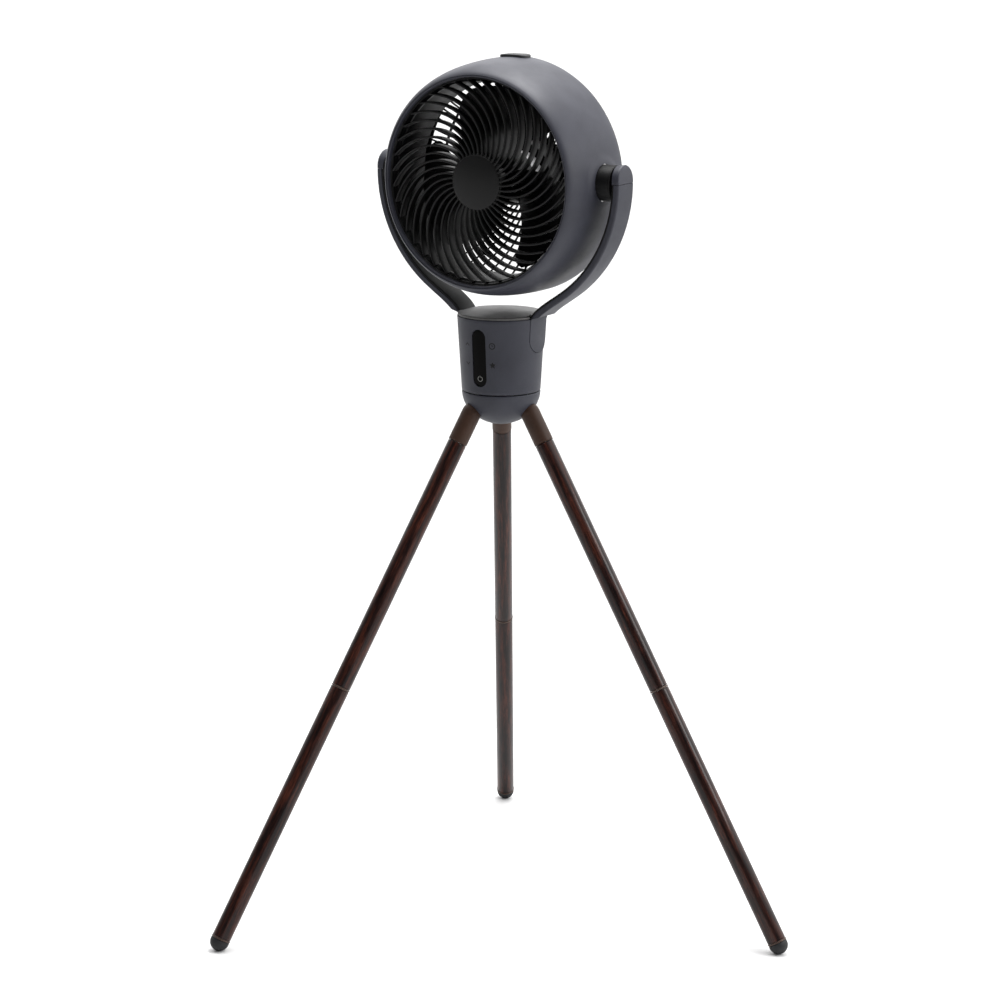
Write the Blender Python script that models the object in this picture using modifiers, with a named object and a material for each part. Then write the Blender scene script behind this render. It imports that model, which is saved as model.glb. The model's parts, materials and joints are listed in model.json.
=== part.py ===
"""A circulator fan on a wooden tripod.

A round drum head tilts in a two-armed yoke. The yoke stands on a tapered body that pans on the
hub of three splayed legs, and each leg is two wooden sections screwed end to end.

Frame: metres, +Z up, floor at z = 0, origin under the middle of the whole object's box. The head
blows towards -Y and tilts about X. The tripod is turned under it, so the head is caught part of
the way through its pan.
"""

import math

import bmesh
import bpy
from mathutils import Matrix, Vector

# Clearances
GAP = 0.0003  # between pieces that touch on the real fan
SEAM = 0.0006  # open line between visible covers

# Stance
PIVOT_HEIGHT = 0.8495
PIVOT_BACK = 0.0030  # behind the pan axis
TRIPOD_TURN = math.radians(31.1)  # the tripod's front, turned from the head's
LEG_HEADINGS = (90, -30, -150)  # degrees, in the tripod's own frame
LEG_SPLAY = math.radians(29.41)
LEG_APEX_HEIGHT = 0.6515  # where the three leg axes meet

# Legs
LEG_R = 0.0107
SOCKET_R = 0.0111
SOCKET_TOP_HEIGHT = 0.592
SOCKET_END_HEIGHT = 0.5509
SECTION_JOINT_HEIGHT = 0.2845
RING_THICKNESS = 0.0018
FOOT_R = 0.0110
FOOT_FLAT_R = 0.0035
FOOT_NECK = 0.0025  # straight part of a foot cap above its ball
STUD_R = 0.0030
STUD_DEPTH = 0.016  # how far a stud enters each piece it joins
BORE_R = STUD_R + GAP

# Dome, hub and pan axis
PAN_SEAM_HEIGHT = 0.6075
DOME_R = 0.0447
DOME_DEPTH = 0.0395
DOME_WALL = 0.0025
HUB_TOP_HEIGHT = 0.6005
PAN_SHAFT_R = 0.0038
RACE_IN_R = 0.014
RACE_OUT_R = 0.026

# Body
BODY_TOP_HEIGHT = 0.6930
BODY_TOP_R = 0.0498
BODY_WALL = 0.0028
COVER_EDGE = 0.0030
COVER_CROWN = 0.0022
DISPLAY_HEIGHT = 0.6495
DISPLAY_SIZE = (0.0170, 0.0650)
DISPLAY_RECESS = 0.0014

# Yoke
ARM_R = 0.1543  # middle of the arm's thickness, about the tilt axis
ARM_HALF_THICKNESS = 0.0045
ARM_HALF_DEPTH = 0.0170
ARM_LINER = 0.0022  # thickness of the inner lining
ARM_ARC_END = math.radians(55)  # where the arc runs over into the S-bend
TONGUE_X = 0.0455
TONGUE_BEND_END = -0.1715  # below the tilt axis
TONGUE_END = -0.1960
ARM_CAP_RISE = 0.0205
PIVOT_SHAFT_R = 0.0060
PIVOT_SHAFT_SPAN = (0.1150, 0.1545)
BOSS_R = 0.0200
BOSS_SPAN = (0.1238, 0.1480)
BOSS_FLANGE = 0.0040  # inside the drum
BOSS_FLANGE_R = 0.0235
WASHER_R = 0.0110
WASHER_THICKNESS = 0.0010

# Head: the drum's profile is an elliptical nose that runs into a short straight barrel, open behind
DRUM_SHIFT = (0, -0.0022, 0.0060)  # drum axis from the tilt axis: across, up and forward
LIP_FRONT = 0.0530  # forward of the middle of the drum
LIP_IN_R = 0.1154
LIP_OUT_R = 0.1170
DRUM_R = 0.1328
NOSE_END = -0.0320
BARREL_END = -0.0400
DRUM_BACK = -0.0450
DRUM_BACK_R = 0.1310
DRUM_WALL = 0.0030
DUCT_R = 0.1085
DUCT_WALL = 0.0020
DUCT_BACK = -0.0110

# Top pad
PAD_SIZE = (0.0350, 0.0060, 0.0200)  # across, up and along the drum
PAD_MIDDLE = -0.0330  # forward of the middle of the drum
PAD_CORNER = 0.0080
PAD_RISE = 0.0030  # above the drum's crest

# Grilles, impeller and motor
GRILLE_FRONT = 0.0495
GRILLE_THICKNESS = 0.0030
FRONT_RIBS = 40
FRONT_SWEEP = math.radians(46)
REAR_RIBS = 36
REAR_GRILLE_R = 0.1308
REAR_GRILLE_SLOTS = (0.0420, 0.1250)
REAR_GRILLE_CREST = -0.0753  # inner face of the dome's flat middle
RIB_WIDTH = 0.0022
HUB_CAP_R = 0.0305
BLADES = 3
BLADE_TIP_R = 0.1030
BLADE_SPAN = math.radians(68)
BLADE_SWEEP = math.radians(28)
IMPELLER_HUB_R = 0.0310
MOTOR_R = 0.0265
SPINDLE_R = 0.0030

# Facets around a full turn
FINE, MEDIUM, COARSE, SMALL = 48, 32, 16, 12

MATERIALS = {  # name: (colour, roughness, metallic)
    "slate_plastic": ((0.062, 0.066, 0.086), 0.55, 0.0),
    "black_plastic": ((0.008, 0.008, 0.009), 0.40, 0.0),
    "charcoal_plastic": ((0.045, 0.044, 0.045), 0.60, 0.0),
    "brown_plastic": ((0.045, 0.029, 0.023), 0.60, 0.0),
    "dark_wood": ((0.035, 0.014, 0.011), 0.30, 0.0),
    "bronze_ring": ((0.100, 0.055, 0.035), 0.45, 0.3),
    "rubber": ((0.013, 0.014, 0.017), 0.70, 0.0),
    "display_panel": ((0.004, 0.004, 0.005), 0.12, 0.0),
    "steel": ((0.450, 0.450, 0.460), 0.35, 1.0),
    "cast_aluminium": ((0.550, 0.550, 0.560), 0.50, 1.0),
    "circuit_board": ((0.010, 0.090, 0.040), 0.50, 0.0),
}


# ---------------------------------------------------------------- scene and materials


def clear_scene():
    for thing in list(bpy.data.objects):
        bpy.data.objects.remove(thing, do_unlink=True)


def new_collection(name):
    collection = bpy.data.collections.new(name)
    bpy.context.scene.collection.children.link(collection)
    return collection


def new_material(name):
    colour, roughness, metallic = MATERIALS[name]
    made = bpy.data.materials.new(name)
    made.use_nodes = True
    shader = made.node_tree.nodes["Principled BSDF"]
    shader.inputs["Base Color"].default_value = (*colour, 1.0)
    shader.inputs["Roughness"].default_value = roughness
    shader.inputs["Metallic"].default_value = metallic
    return made


clear_scene()
PARTS = new_collection("tripod_circulator_fan")
CUTTERS = new_collection("cutters")
SURFACES = {name: new_material(name) for name in MATERIALS}


# ---------------------------------------------------------------- frames


def new_frame(name, matrix, parent=None):
    frame = bpy.data.objects.new(name, None)
    frame.empty_display_size = 0.03
    PARTS.objects.link(frame)
    frame.parent = parent
    frame.matrix_local = matrix
    return frame


def turn(angle, axis):
    return Matrix.Rotation(angle, 4, axis)


def leg_frame(index):
    """Local +Z runs up the leg, and the origin is where the three leg axes meet."""
    heading = math.radians(LEG_HEADINGS[index])
    apex = Matrix.Translation((0, 0, LEG_APEX_HEIGHT))
    return new_frame(f"leg_{index + 1}_axis", apex @ turn(heading, "Z") @ turn(-LEG_SPLAY, "Y"), TRIPOD)


def along(height):
    """Place on a leg's own axis, in its frame, of the point that stands this high off the floor."""
    return (height - LEG_APEX_HEIGHT) / math.cos(LEG_SPLAY)


ROOT = new_frame("fan", Matrix())
TRIPOD = new_frame("tripod_frame", turn(TRIPOD_TURN, "Z"), ROOT)
LEGS = [leg_frame(index) for index in range(len(LEG_HEADINGS))]
SWIVEL = new_frame("pan_axis", Matrix.Translation((0, 0, PAN_SEAM_HEIGHT)), ROOT)
# On the tilt axis, with local +Z forward and local +Y up, so that the head is drawn as seen from its front
TILT_PLACE = (0, PIVOT_BACK, PIVOT_HEIGHT - PAN_SEAM_HEIGHT)
TILT_MATRIX = Matrix.Translation(TILT_PLACE) @ turn(math.radians(90), "X")
TILT = new_frame("tilt_axis", TILT_MATRIX, SWIVEL)
HEAD = new_frame("drum_axis", Matrix.Translation(DRUM_SHIFT), TILT)
ROTOR = new_frame("spin_axis", Matrix(), HEAD)
ARMS = new_frame("yoke_frame", TILT_MATRIX, SWIVEL)
SIDES = {"left": -1, "right": 1}  # seen from the front


# ---------------------------------------------------------------- shape helpers


def place(thing, surface, parent, matrix=None, collection=None):
    (collection or PARTS).objects.link(thing)
    thing.parent = parent
    thing.matrix_local = matrix or Matrix()
    if surface:
        thing.data.materials.append(SURFACES[surface])
    return thing


def hide_cutter(thing):
    thing.hide_render = True
    thing.display_type = "WIRE"
    return thing


def shade(mesh, sharp_degrees=35):
    mesh.shade_smooth()
    mesh.set_sharp_from_angle(angle=math.radians(sharp_degrees))


def turned(name, profile, surface, parent, steps=MEDIUM, matrix=None, closed=False):
    """A profile of (radius, z) points, outer side running down, turned about local Z."""
    mesh = bpy.data.meshes.new(name)
    edges = [(i, i + 1) for i in range(len(profile) - 1)]
    if closed:
        edges.append((len(profile) - 1, 0))
    mesh.from_pydata([(radius, 0, z) for radius, z in profile], edges, [])
    thing = place(bpy.data.objects.new(name, mesh), surface, parent, matrix)
    screw = thing.modifiers.new("turn", "SCREW")
    screw.axis = "Z"
    screw.steps = screw.render_steps = steps
    screw.use_merge_vertices = True
    screw.merge_threshold = 0.00001
    screw.use_smooth_shade = True
    return thing


def ring(name, inner_r, outer_r, low, high, surface, parent, steps=MEDIUM, matrix=None):
    profile = [(outer_r, high), (outer_r, low), (inner_r, low), (inner_r, high)]
    return turned(name, profile, surface, parent, steps, matrix, closed=True)


def disc(name, radius, low, high, surface, parent, steps=MEDIUM, matrix=None):
    profile = [(0, high), (radius, high), (radius, low), (0, low)]
    return turned(name, profile, surface, parent, steps, matrix)


def flat(name, outlines, thickness, surface, parent, matrix=None):
    """Closed outlines in local XY, the later ones cut out of the first, this thick about local Z."""
    curve = bpy.data.curves.new(name, "CURVE")
    curve.dimensions = "2D"
    curve.fill_mode = "BOTH"
    curve.extrude = thickness / 2
    for points in outlines:
        spline = curve.splines.new("POLY")
        spline.points.add(len(points) - 1)
        for point, (x, y) in zip(spline.points, points):
            point.co = (x, y, 0, 1)
        spline.use_cyclic_u = True
    return place(bpy.data.objects.new(name, curve), surface, parent, matrix)


def as_mesh(thing):
    """The same piece with its curve turned into a welded mesh, ready for a Boolean."""
    bpy.context.view_layer.update()
    name, parent, local = thing.name, thing.parent, thing.matrix_local.copy()
    evaluated = thing.evaluated_get(bpy.context.evaluated_depsgraph_get())
    mesh = bpy.data.meshes.new_from_object(evaluated)
    work = bmesh.new()
    work.from_mesh(mesh)
    bmesh.ops.remove_doubles(work, verts=work.verts, dist=0.00001)
    bmesh.ops.recalc_face_normals(work, faces=work.faces)
    work.to_mesh(mesh)
    work.free()
    bpy.data.objects.remove(thing, do_unlink=True)
    mesh.name = name
    return place(bpy.data.objects.new(name, mesh), None, parent, local)


def cylinder_cutter(name, radius, low, high, parent, matrix=None, steps=COARSE):
    """A solid rod about local Z, used only to cut."""
    mesh = bpy.data.meshes.new(name)
    work = bmesh.new()
    bmesh.ops.create_cone(
        work, cap_ends=True, segments=steps, radius1=radius, radius2=radius, depth=high - low
    )
    bmesh.ops.translate(work, verts=work.verts, vec=(0, 0, (low + high) / 2))
    work.to_mesh(mesh)
    work.free()
    return hide_cutter(place(bpy.data.objects.new(name, mesh), None, parent, matrix, CUTTERS))


def box_mesh(name, size, middle):
    mesh = bpy.data.meshes.new(name)
    work = bmesh.new()
    bmesh.ops.create_cube(work, size=1)
    bmesh.ops.scale(work, verts=work.verts, vec=size)
    bmesh.ops.translate(work, verts=work.verts, vec=middle)
    work.to_mesh(mesh)
    work.free()
    return mesh


def cut(piece, *cutters, operation="DIFFERENCE"):
    for cutter in cutters:
        boolean = piece.modifiers.new(cutter.name, "BOOLEAN")
        boolean.operation = operation
        boolean.solver = "EXACT"
        boolean.object = cutter


def capsule(width, length, steps=8):
    """Outline of an upright capsule about the origin."""
    radius = width / 2
    reach = length / 2 - radius
    top = [math.pi * i / steps for i in range(steps + 1)]
    upper = [(radius * math.cos(a), reach + radius * math.sin(a)) for a in top]
    return upper + [(-x, -y) for x, y in upper]


def loft(name, stations, surface, parent, matrix=None, collection=None):
    """A closed skin over rings of points that all have the same number of points."""
    mesh = bpy.data.meshes.new(name)
    work = bmesh.new()
    rings = [[work.verts.new(point) for point in station] for station in stations]
    count = len(stations[0])
    for near, far in zip(rings, rings[1:]):
        for i in range(count):
            j = (i + 1) % count
            work.faces.new((near[i], near[j], far[j], far[i]))
    work.faces.new(list(reversed(rings[0])))
    work.faces.new(rings[-1])
    bmesh.ops.recalc_face_normals(work, faces=work.faces)
    work.to_mesh(mesh)
    work.free()
    shade(mesh)
    return place(bpy.data.objects.new(name, mesh), surface, parent, matrix, collection)


# ---------------------------------------------------------------- tripod


def make_leg(index):
    frame = LEGS[index]
    number = index + 1
    socket_top = along(SOCKET_TOP_HEIGHT)
    socket_end = along(SOCKET_END_HEIGHT)
    joint = along(SECTION_JOINT_HEIGHT)
    ball = along(math.sqrt(FOOT_R**2 - FOOT_FLAT_R**2))
    foot_top = ball + FOOT_NECK
    ring_top = joint + RING_THICKNESS / 2
    ring_end = joint - RING_THICKNESS / 2
    foot_ring_top = foot_top + GAP + RING_THICKNESS

    turned(
        f"leg_socket_{number}",
        [
            (0, socket_top),
            (SOCKET_R - 0.001, socket_top),
            (SOCKET_R, socket_top - 0.001),
            (SOCKET_R, socket_end + GAP),
            (BORE_R, socket_end + GAP),
            (BORE_R, socket_end + STUD_DEPTH),
            (0, socket_end + STUD_DEPTH),
        ],
        "brown_plastic",
        frame,
        COARSE,
    )
    wooden_section(f"upper_leg_{number}", socket_end - GAP, ring_top + GAP, frame)
    wooden_section(f"lower_leg_{number}", ring_end - GAP, foot_ring_top + GAP, frame)
    foot_ring_low = foot_ring_top - RING_THICKNESS
    ring(f"foot_ring_{number}", BORE_R, SOCKET_R, foot_ring_low, foot_ring_top, "bronze_ring", frame, COARSE)
    reach = STUD_DEPTH - 0.001
    disc(f"socket_stud_{number}", STUD_R, socket_end - reach, socket_end + reach, "steel", frame, SMALL)
    turned(
        f"section_coupler_{number}",
        [
            (0, joint + reach),
            (STUD_R, joint + reach),
            (STUD_R, ring_top),
            (SOCKET_R, ring_top),
            (SOCKET_R, ring_end),
            (STUD_R, ring_end),
            (STUD_R, joint - reach),
            (0, joint - reach),
        ],
        "bronze_ring",
        frame,
        COARSE,
    )
    foot_cap(f"foot_cap_{number}", ball, foot_top, foot_ring_top + STUD_DEPTH - 0.001, frame)


def wooden_section(name, top, end, frame):
    """A round leg section with a blind bore in each end for the studs."""
    turned(
        name,
        [
            (0, top - STUD_DEPTH),
            (BORE_R, top - STUD_DEPTH),
            (BORE_R, top),
            (LEG_R, top),
            (LEG_R, end),
            (BORE_R, end),
            (BORE_R, end + STUD_DEPTH),
            (0, end + STUD_DEPTH),
        ],
        "dark_wood",
        frame,
        COARSE,
    )


def foot_cap(name, ball, top, stem_top, frame):
    """A rubber ball end with a stem up into the leg, cut flat where it stands on the floor."""
    profile = [(0, stem_top), (STUD_R, stem_top), (STUD_R, top), (FOOT_R, top)]
    quarter = 6
    for i in range(quarter + 1):
        angle = math.pi / 2 * i / quarter
        profile.append((FOOT_R * math.cos(angle), ball - FOOT_R * math.sin(angle)))
    cap = turned(name, profile, "rubber", frame, COARSE)
    cut(cap, FLOOR)


def ellipse_arc(radius, depth, top, start, steps):
    """Points down the side of a half-ellipsoid from the depth start below its rim to its foot."""
    first = math.asin(start / depth)
    for i in range(steps + 1):
        angle = first + (math.pi / 2 - first) * i / steps
        yield (radius * math.cos(angle) if i < steps else 0.0, top - depth * math.sin(angle))


def make_hub():
    outer = list(ellipse_arc(DOME_R, DOME_DEPTH, PAN_SEAM_HEIGHT, SEAM, 6))
    inner = list(ellipse_arc(DOME_R - DOME_WALL, DOME_DEPTH - DOME_WALL, PAN_SEAM_HEIGHT, SEAM, 6))
    dome = turned("base_dome", inner[::-1] + outer, "slate_plastic", TRIPOD, MEDIUM)
    clear = DOME_WALL + 0.0005
    hub_start = PAN_SEAM_HEIGHT - HUB_TOP_HEIGHT
    block = list(ellipse_arc(DOME_R - clear, DOME_DEPTH - clear, PAN_SEAM_HEIGHT, hub_start, 5))
    shaft_foot = 0.583
    bore = [(0, shaft_foot), (PAN_SHAFT_R + GAP, shaft_foot), (PAN_SHAFT_R + GAP, HUB_TOP_HEIGHT)]
    hub = turned("leg_hub", bore + block, "cast_aluminium", TRIPOD, MEDIUM)
    for index, frame in enumerate(LEGS):
        reach = along(SOCKET_TOP_HEIGHT)
        socket_hole = cylinder_cutter(
            f"socket_hole_{index + 1}", SOCKET_R + 0.0005, reach - 0.08, reach + GAP, frame
        )
        cut(dome, socket_hole)
        cut(hub, socket_hole)
    shaft_top = 0.6205
    disc("pan_shaft", PAN_SHAFT_R, shaft_foot + GAP, shaft_top, "steel", TRIPOD, SMALL)
    race_low = HUB_TOP_HEIGHT + GAP
    ring("pan_bearing_lower_race", RACE_IN_R, RACE_OUT_R, race_low, 0.6040, "steel", TRIPOD, COARSE)


# ---------------------------------------------------------------- swivelling body


def body_radius(height):
    """Outside of the tapered body at a height above the floor."""
    share = (height - PAN_SEAM_HEIGHT) / (BODY_TOP_HEIGHT - PAN_SEAM_HEIGHT)
    return DOME_R + (BODY_TOP_R - DOME_R) * share


def body_z(height):
    return height - PAN_SEAM_HEIGHT


def make_body():
    low, high = body_z(PAN_SEAM_HEIGHT + GAP), body_z(BODY_TOP_HEIGHT)
    wall = [(BODY_TOP_R, high), (DOME_R, low), (DOME_R - BODY_WALL, low), (BODY_TOP_R - BODY_WALL, high)]
    shell = turned("body_shell", wall, "slate_plastic", SWIVEL, FINE, closed=True)
    cover_low = high + GAP
    cover = turned(
        "top_cover",
        [
            (0, cover_low + COVER_EDGE + COVER_CROWN),
            (BODY_TOP_R * 0.5, cover_low + COVER_EDGE + COVER_CROWN * 0.75),
            (BODY_TOP_R - 0.0008, cover_low + COVER_EDGE),
            (BODY_TOP_R, cover_low + COVER_EDGE - 0.0008),
            (BODY_TOP_R, cover_low),
            (0, cover_low),
        ],
        "charcoal_plastic",
        SWIVEL,
        FINE,
    )
    for side in SIDES:
        notch = arm_solid(f"{side}_notch", side, tongue_path(), -0.0083, 0.0120, 0.0005, None)
        cut(shell, notch)
        cut(cover, notch)

    plate_low = body_z(0.6082)
    disc_bore = PAN_SHAFT_R + 0.0010
    ring("body_base_plate", disc_bore, 0.0412, plate_low, plate_low + 0.003, "black_plastic", SWIVEL, COARSE)
    race = (body_z(0.6043), body_z(0.6079))
    ring("pan_bearing_upper_race", RACE_IN_R, RACE_OUT_R, *race, "steel", SWIVEL, COARSE)
    motor_low, motor_high, bore_top = body_z(0.6120), body_z(0.6330), body_z(0.6215)
    turned(
        "pan_motor",
        [
            (0, motor_high),
            (0.0240, motor_high),
            (0.0240, motor_low),
            (PAN_SHAFT_R + 0.0004, motor_low),
            (PAN_SHAFT_R + 0.0004, bore_top),
            (0, bore_top),
        ],
        "cast_aluminium",
        SWIVEL,
        COARSE,
    )
    make_display(shell)
    make_inlet(shell)
    make_bracket()


def make_display(shell):
    """The touch panel in its slot, leaning with the body's wall, and the board behind it."""
    width, length = DISPLAY_SIZE
    slot = flat("display_slot", [capsule(width + 2 * GAP, length + 2 * GAP)], 0.03, None, SWIVEL)
    slot.matrix_local = Matrix.Translation((0, -0.045, body_z(DISPLAY_HEIGHT))) @ turn(math.pi / 2, "X")
    slot = hide_cutter(as_mesh(slot))
    PARTS.objects.unlink(slot)
    CUTTERS.objects.link(slot)
    cut(shell, slot)
    thickness = 0.0022
    lean = math.atan((BODY_TOP_R - DOME_R) / (BODY_TOP_HEIGHT - PAN_SEAM_HEIGHT))
    front = body_radius(DISPLAY_HEIGHT) - DISPLAY_RECESS
    middle = Matrix.Translation((0, -(front - thickness / 2), body_z(DISPLAY_HEIGHT)))
    upright = middle @ turn(math.pi / 2 + lean, "X")
    flat("display_window", [capsule(width, length)], thickness, "display_panel", SWIVEL, upright)
    board = box_mesh("control_board", (0.024, 0.0016, 0.070), (0, -0.0372, body_z(DISPLAY_HEIGHT)))
    place(bpy.data.objects.new("control_board", board), "circuit_board", SWIVEL)


def make_inlet(shell):
    """The mains adapter's round socket, low in the back of the body."""
    height = 0.6260
    back = Matrix.Translation((0, 0, body_z(height))) @ turn(-math.pi / 2, "X")  # local +Z backwards
    hole = cylinder_cutter("inlet_hole", 0.0058, 0.030, 0.060, SWIVEL, back)
    cut(shell, hole)
    mouth = body_radius(height) + 0.0006
    turned(
        "power_inlet",
        [
            (0, mouth - 0.0100),
            (0.0034, mouth - 0.0100),
            (0.0034, mouth),
            (0.0055, mouth),
            (0.0055, mouth - 0.0140),
            (0, mouth - 0.0140),
        ],
        "black_plastic",
        SWIVEL,
        COARSE,
        back,
    )


def make_bracket():
    """A steel channel inside the body, with an upright at each end that a yoke arm is screwed to."""
    low, high, reach, sheet = body_z(0.6600), body_z(0.6840), 0.0402, 0.0025
    outline = [
        (-reach, high),
        (-reach, low),
        (reach, low),
        (reach, high),
        (reach - sheet, high),
        (reach - sheet, low + sheet),
        (sheet - reach, low + sheet),
        (sheet - reach, high),
    ]
    upright = Matrix.Translation((0, PIVOT_BACK, 0)) @ turn(math.pi / 2, "X")
    bracket = as_mesh(flat("yoke_bracket", [outline], 0.026, "steel", SWIVEL, upright))
    for side, sign in SIDES.items():
        axis = Matrix.Translation((0, PIVOT_BACK, body_z(0.6740))) @ turn(sign * math.pi / 2, "Y")
        hole = cylinder_cutter(f"{side}_screw_hole", 0.0024, 0.030, 0.0470, SWIVEL, axis, SMALL)
        cut(bracket, hole)
        cut(bpy.data.objects[f"{side}_arm_liner"], hole)
        cut(bpy.data.objects[f"{side}_arm_shell"], hole)
        turned(
            f"{side}_arm_screw",
            [(0, 0.0465), (0.0020, 0.0465), (0.0020, 0.0374), (0.0040, 0.0374), (0.0040, 0.0350), (0, 0.0350)],
            "steel",
            SWIVEL,
            SMALL,
            axis,
        )


# ---------------------------------------------------------------- yoke arms


def arm_path():
    """(point, outward normal) down the right arm's middle line, about the tilt axis."""
    path = []
    arc_steps = 11
    for i in range(arc_steps + 1):
        angle = ARM_ARC_END * i / arc_steps
        normal = Vector((math.cos(angle), -math.sin(angle)))
        path.append((normal * ARM_R, normal))
    return path + tongue_path()


def tongue_path():
    """The S-bend from the end of the arc down to the upright tongue, with the normals outward."""
    begin = Vector((math.cos(ARM_ARC_END), -math.sin(ARM_ARC_END))) * ARM_R
    heading = Vector((-math.sin(ARM_ARC_END), -math.cos(ARM_ARC_END)))
    end = Vector((TONGUE_X, TONGUE_BEND_END))
    controls = (begin, begin + heading * 0.028, end + Vector((0, 0.020)), end)
    path = []
    bend_steps = 8
    for i in range(1, bend_steps + 1):
        t = i / bend_steps
        a, b, c, d = controls
        point = a * (1 - t) ** 3 + b * 3 * t * (1 - t) ** 2 + c * 3 * t**2 * (1 - t) + d * t**3
        slope = (b - a) * (1 - t) ** 2 + (c - b) * 2 * t * (1 - t) + (d - c) * t**2
        slope.normalize()
        path.append((point, Vector((-slope.y, slope.x))))
    # the tongue ends in a half round, so its last stations close in on its bottom point
    round_start = TONGUE_END + ARM_HALF_DEPTH
    for i in range(7):
        drop = ARM_HALF_DEPTH * math.sin(math.radians(12.5 * i))
        path.append((Vector((TONGUE_X, round_start - drop)), Vector((1, 0))))
    return path


def half_depth(point):
    """Half the arm's width at a point of its path: rounded at the tongue's foot and the cap's crown."""
    foot = TONGUE_END + ARM_HALF_DEPTH
    crown = ARM_CAP_RISE - ARM_HALF_DEPTH
    beyond = max(foot - point.y, point.y - crown, 0)
    return math.sqrt(max(ARM_HALF_DEPTH**2 - beyond**2, 0.0004**2))


def arm_solid(name, side, path, inner, outer, grow, surface):
    """The arm between two offsets from its middle line, with chamfered outer edges."""
    sign = SIDES[side]
    chamfer = 0.0022 if surface == "slate_plastic" else 0.0008
    stations = []
    for point, normal in path:
        half = half_depth(point) + grow
        edge = min(chamfer, half * 0.5)
        section = (
            (inner, half),
            (outer - edge, half),
            (outer, half - edge),
            (outer, edge - half),
            (outer - edge, -half),
            (inner, -half),
        )
        stations.append(
            [(sign * (point.x + normal.x * o), point.y + normal.y * o, z) for o, z in section]
        )
    made = loft(name, stations, surface, ARMS, None, PARTS if surface else CUTTERS)
    return made if surface else hide_cutter(made)


def cap_path():
    """The short run of the arc above the tilt axis, closed in to a half round."""
    path = []
    crown = ARM_CAP_RISE - ARM_HALF_DEPTH
    heights = [GAP, crown] + [crown + ARM_HALF_DEPTH * math.sin(math.radians(12.5 * i)) for i in range(1, 7)]
    for height in heights:
        angle = math.asin(height / ARM_R)
        normal = Vector((math.cos(angle), math.sin(angle)))
        path.append((normal * ARM_R, normal))
    return path


def make_arm(side):
    sign = SIDES[side]
    split = ARM_LINER - ARM_HALF_THICKNESS
    path = arm_path()
    shell = arm_solid(f"{side}_arm_shell", side, path, split + GAP, ARM_HALF_THICKNESS, 0, "slate_plastic")
    liner = arm_solid(f"{side}_arm_liner", side, path, -ARM_HALF_THICKNESS, split, 0, "black_plastic")
    cap = arm_solid(
        f"{side}_arm_cap", side, cap_path(), -ARM_HALF_THICKNESS, ARM_HALF_THICKNESS, 0, "slate_plastic"
    )
    sideways = turn(sign * math.pi / 2, "Y")
    shaft_in, shaft_out = PIVOT_SHAFT_SPAN
    bearing = cylinder_cutter(
        f"{side}_bearing_hole", PIVOT_SHAFT_R + 0.0004, 0.135, shaft_out + 0.0005, ARMS, sideways
    )
    cut(shell, bearing)
    cut(liner, bearing)
    cut(cap, bearing)
    washer = (BOSS_SPAN[1] + GAP, BOSS_SPAN[1] + GAP + WASHER_THICKNESS)
    ring(f"{side}_friction_washer", PIVOT_SHAFT_R + GAP, WASHER_R, *washer, "steel", ARMS, COARSE, sideways)


# ---------------------------------------------------------------- head


def nose_radius(forward, tip_r, full_r, reach):
    """The drum's elliptical nose: its radius this far forward of the drum's middle."""
    share = min(max((forward - NOSE_END) / reach, 0), 1)
    return tip_r + (full_r - tip_r) * math.sqrt(1 - share**2)


def drum_outline(tip_r, full_r, front, back, back_r, steps=7):
    """(radius, forward) points from the front lip to the rounded rear rim."""
    reach = front - NOSE_END
    points = []
    for i in range(steps + 1):
        forward = NOSE_END + reach * math.cos(math.pi / 2 * i / steps)
        points.append((nose_radius(forward, tip_r, full_r, reach), forward))
    bend = 3
    for i in range(bend + 1):
        angle = math.pi / 2 * i / bend
        rim = (full_r - back_r) * (1 - math.cos(angle))
        points.append((full_r - rim, BARREL_END + (back - BARREL_END) * math.sin(angle)))
    return points


def make_drum():
    outer = drum_outline(LIP_OUT_R, DRUM_R, LIP_FRONT, DRUM_BACK, DRUM_BACK_R)
    inner_r = DRUM_R - DRUM_WALL
    inner = drum_outline(LIP_IN_R, inner_r, LIP_FRONT - 0.0035, DRUM_BACK, inner_r)
    profile = [(LIP_IN_R, LIP_FRONT)] + outer + inner[::-1]
    drum = turned("drum_shell", profile, "slate_plastic", HEAD, FINE, closed=True)
    for side, sign in SIDES.items():
        sideways = turn(sign * math.pi / 2, "Y")
        hole = cylinder_cutter(f"{side}_boss_hole", BOSS_R + 0.0005, 0.110, 0.150, TILT, sideways)
        cut(drum, hole)
        flange_out, boss_end = BOSS_SPAN
        flange_in = flange_out - BOSS_FLANGE
        bore = PIVOT_SHAFT_R + GAP
        turned(
            f"{side}_pivot_boss",
            [
                (BOSS_R, boss_end),
                (BOSS_R, flange_out),
                (BOSS_FLANGE_R, flange_out),
                (BOSS_FLANGE_R, flange_in),
                (bore, flange_in),
                (bore, boss_end),
            ],
            "black_plastic",
            TILT,
            COARSE,
            sideways,
            closed=True,
        )
        disc(f"{side}_pivot_shaft", PIVOT_SHAFT_R, *PIVOT_SHAFT_SPAN, "steel", TILT, COARSE, sideways)

    inside = [(0.1130, 0.0460), (0.1100, 0.0340), (0.1090, 0.0200), (DUCT_R, 0), (DUCT_R, DUCT_BACK)]
    outside = [(radius + DUCT_WALL, forward) for radius, forward in inside]
    turned("inner_duct", outside + inside[::-1], "black_plastic", HEAD, FINE, closed=True)


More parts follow.
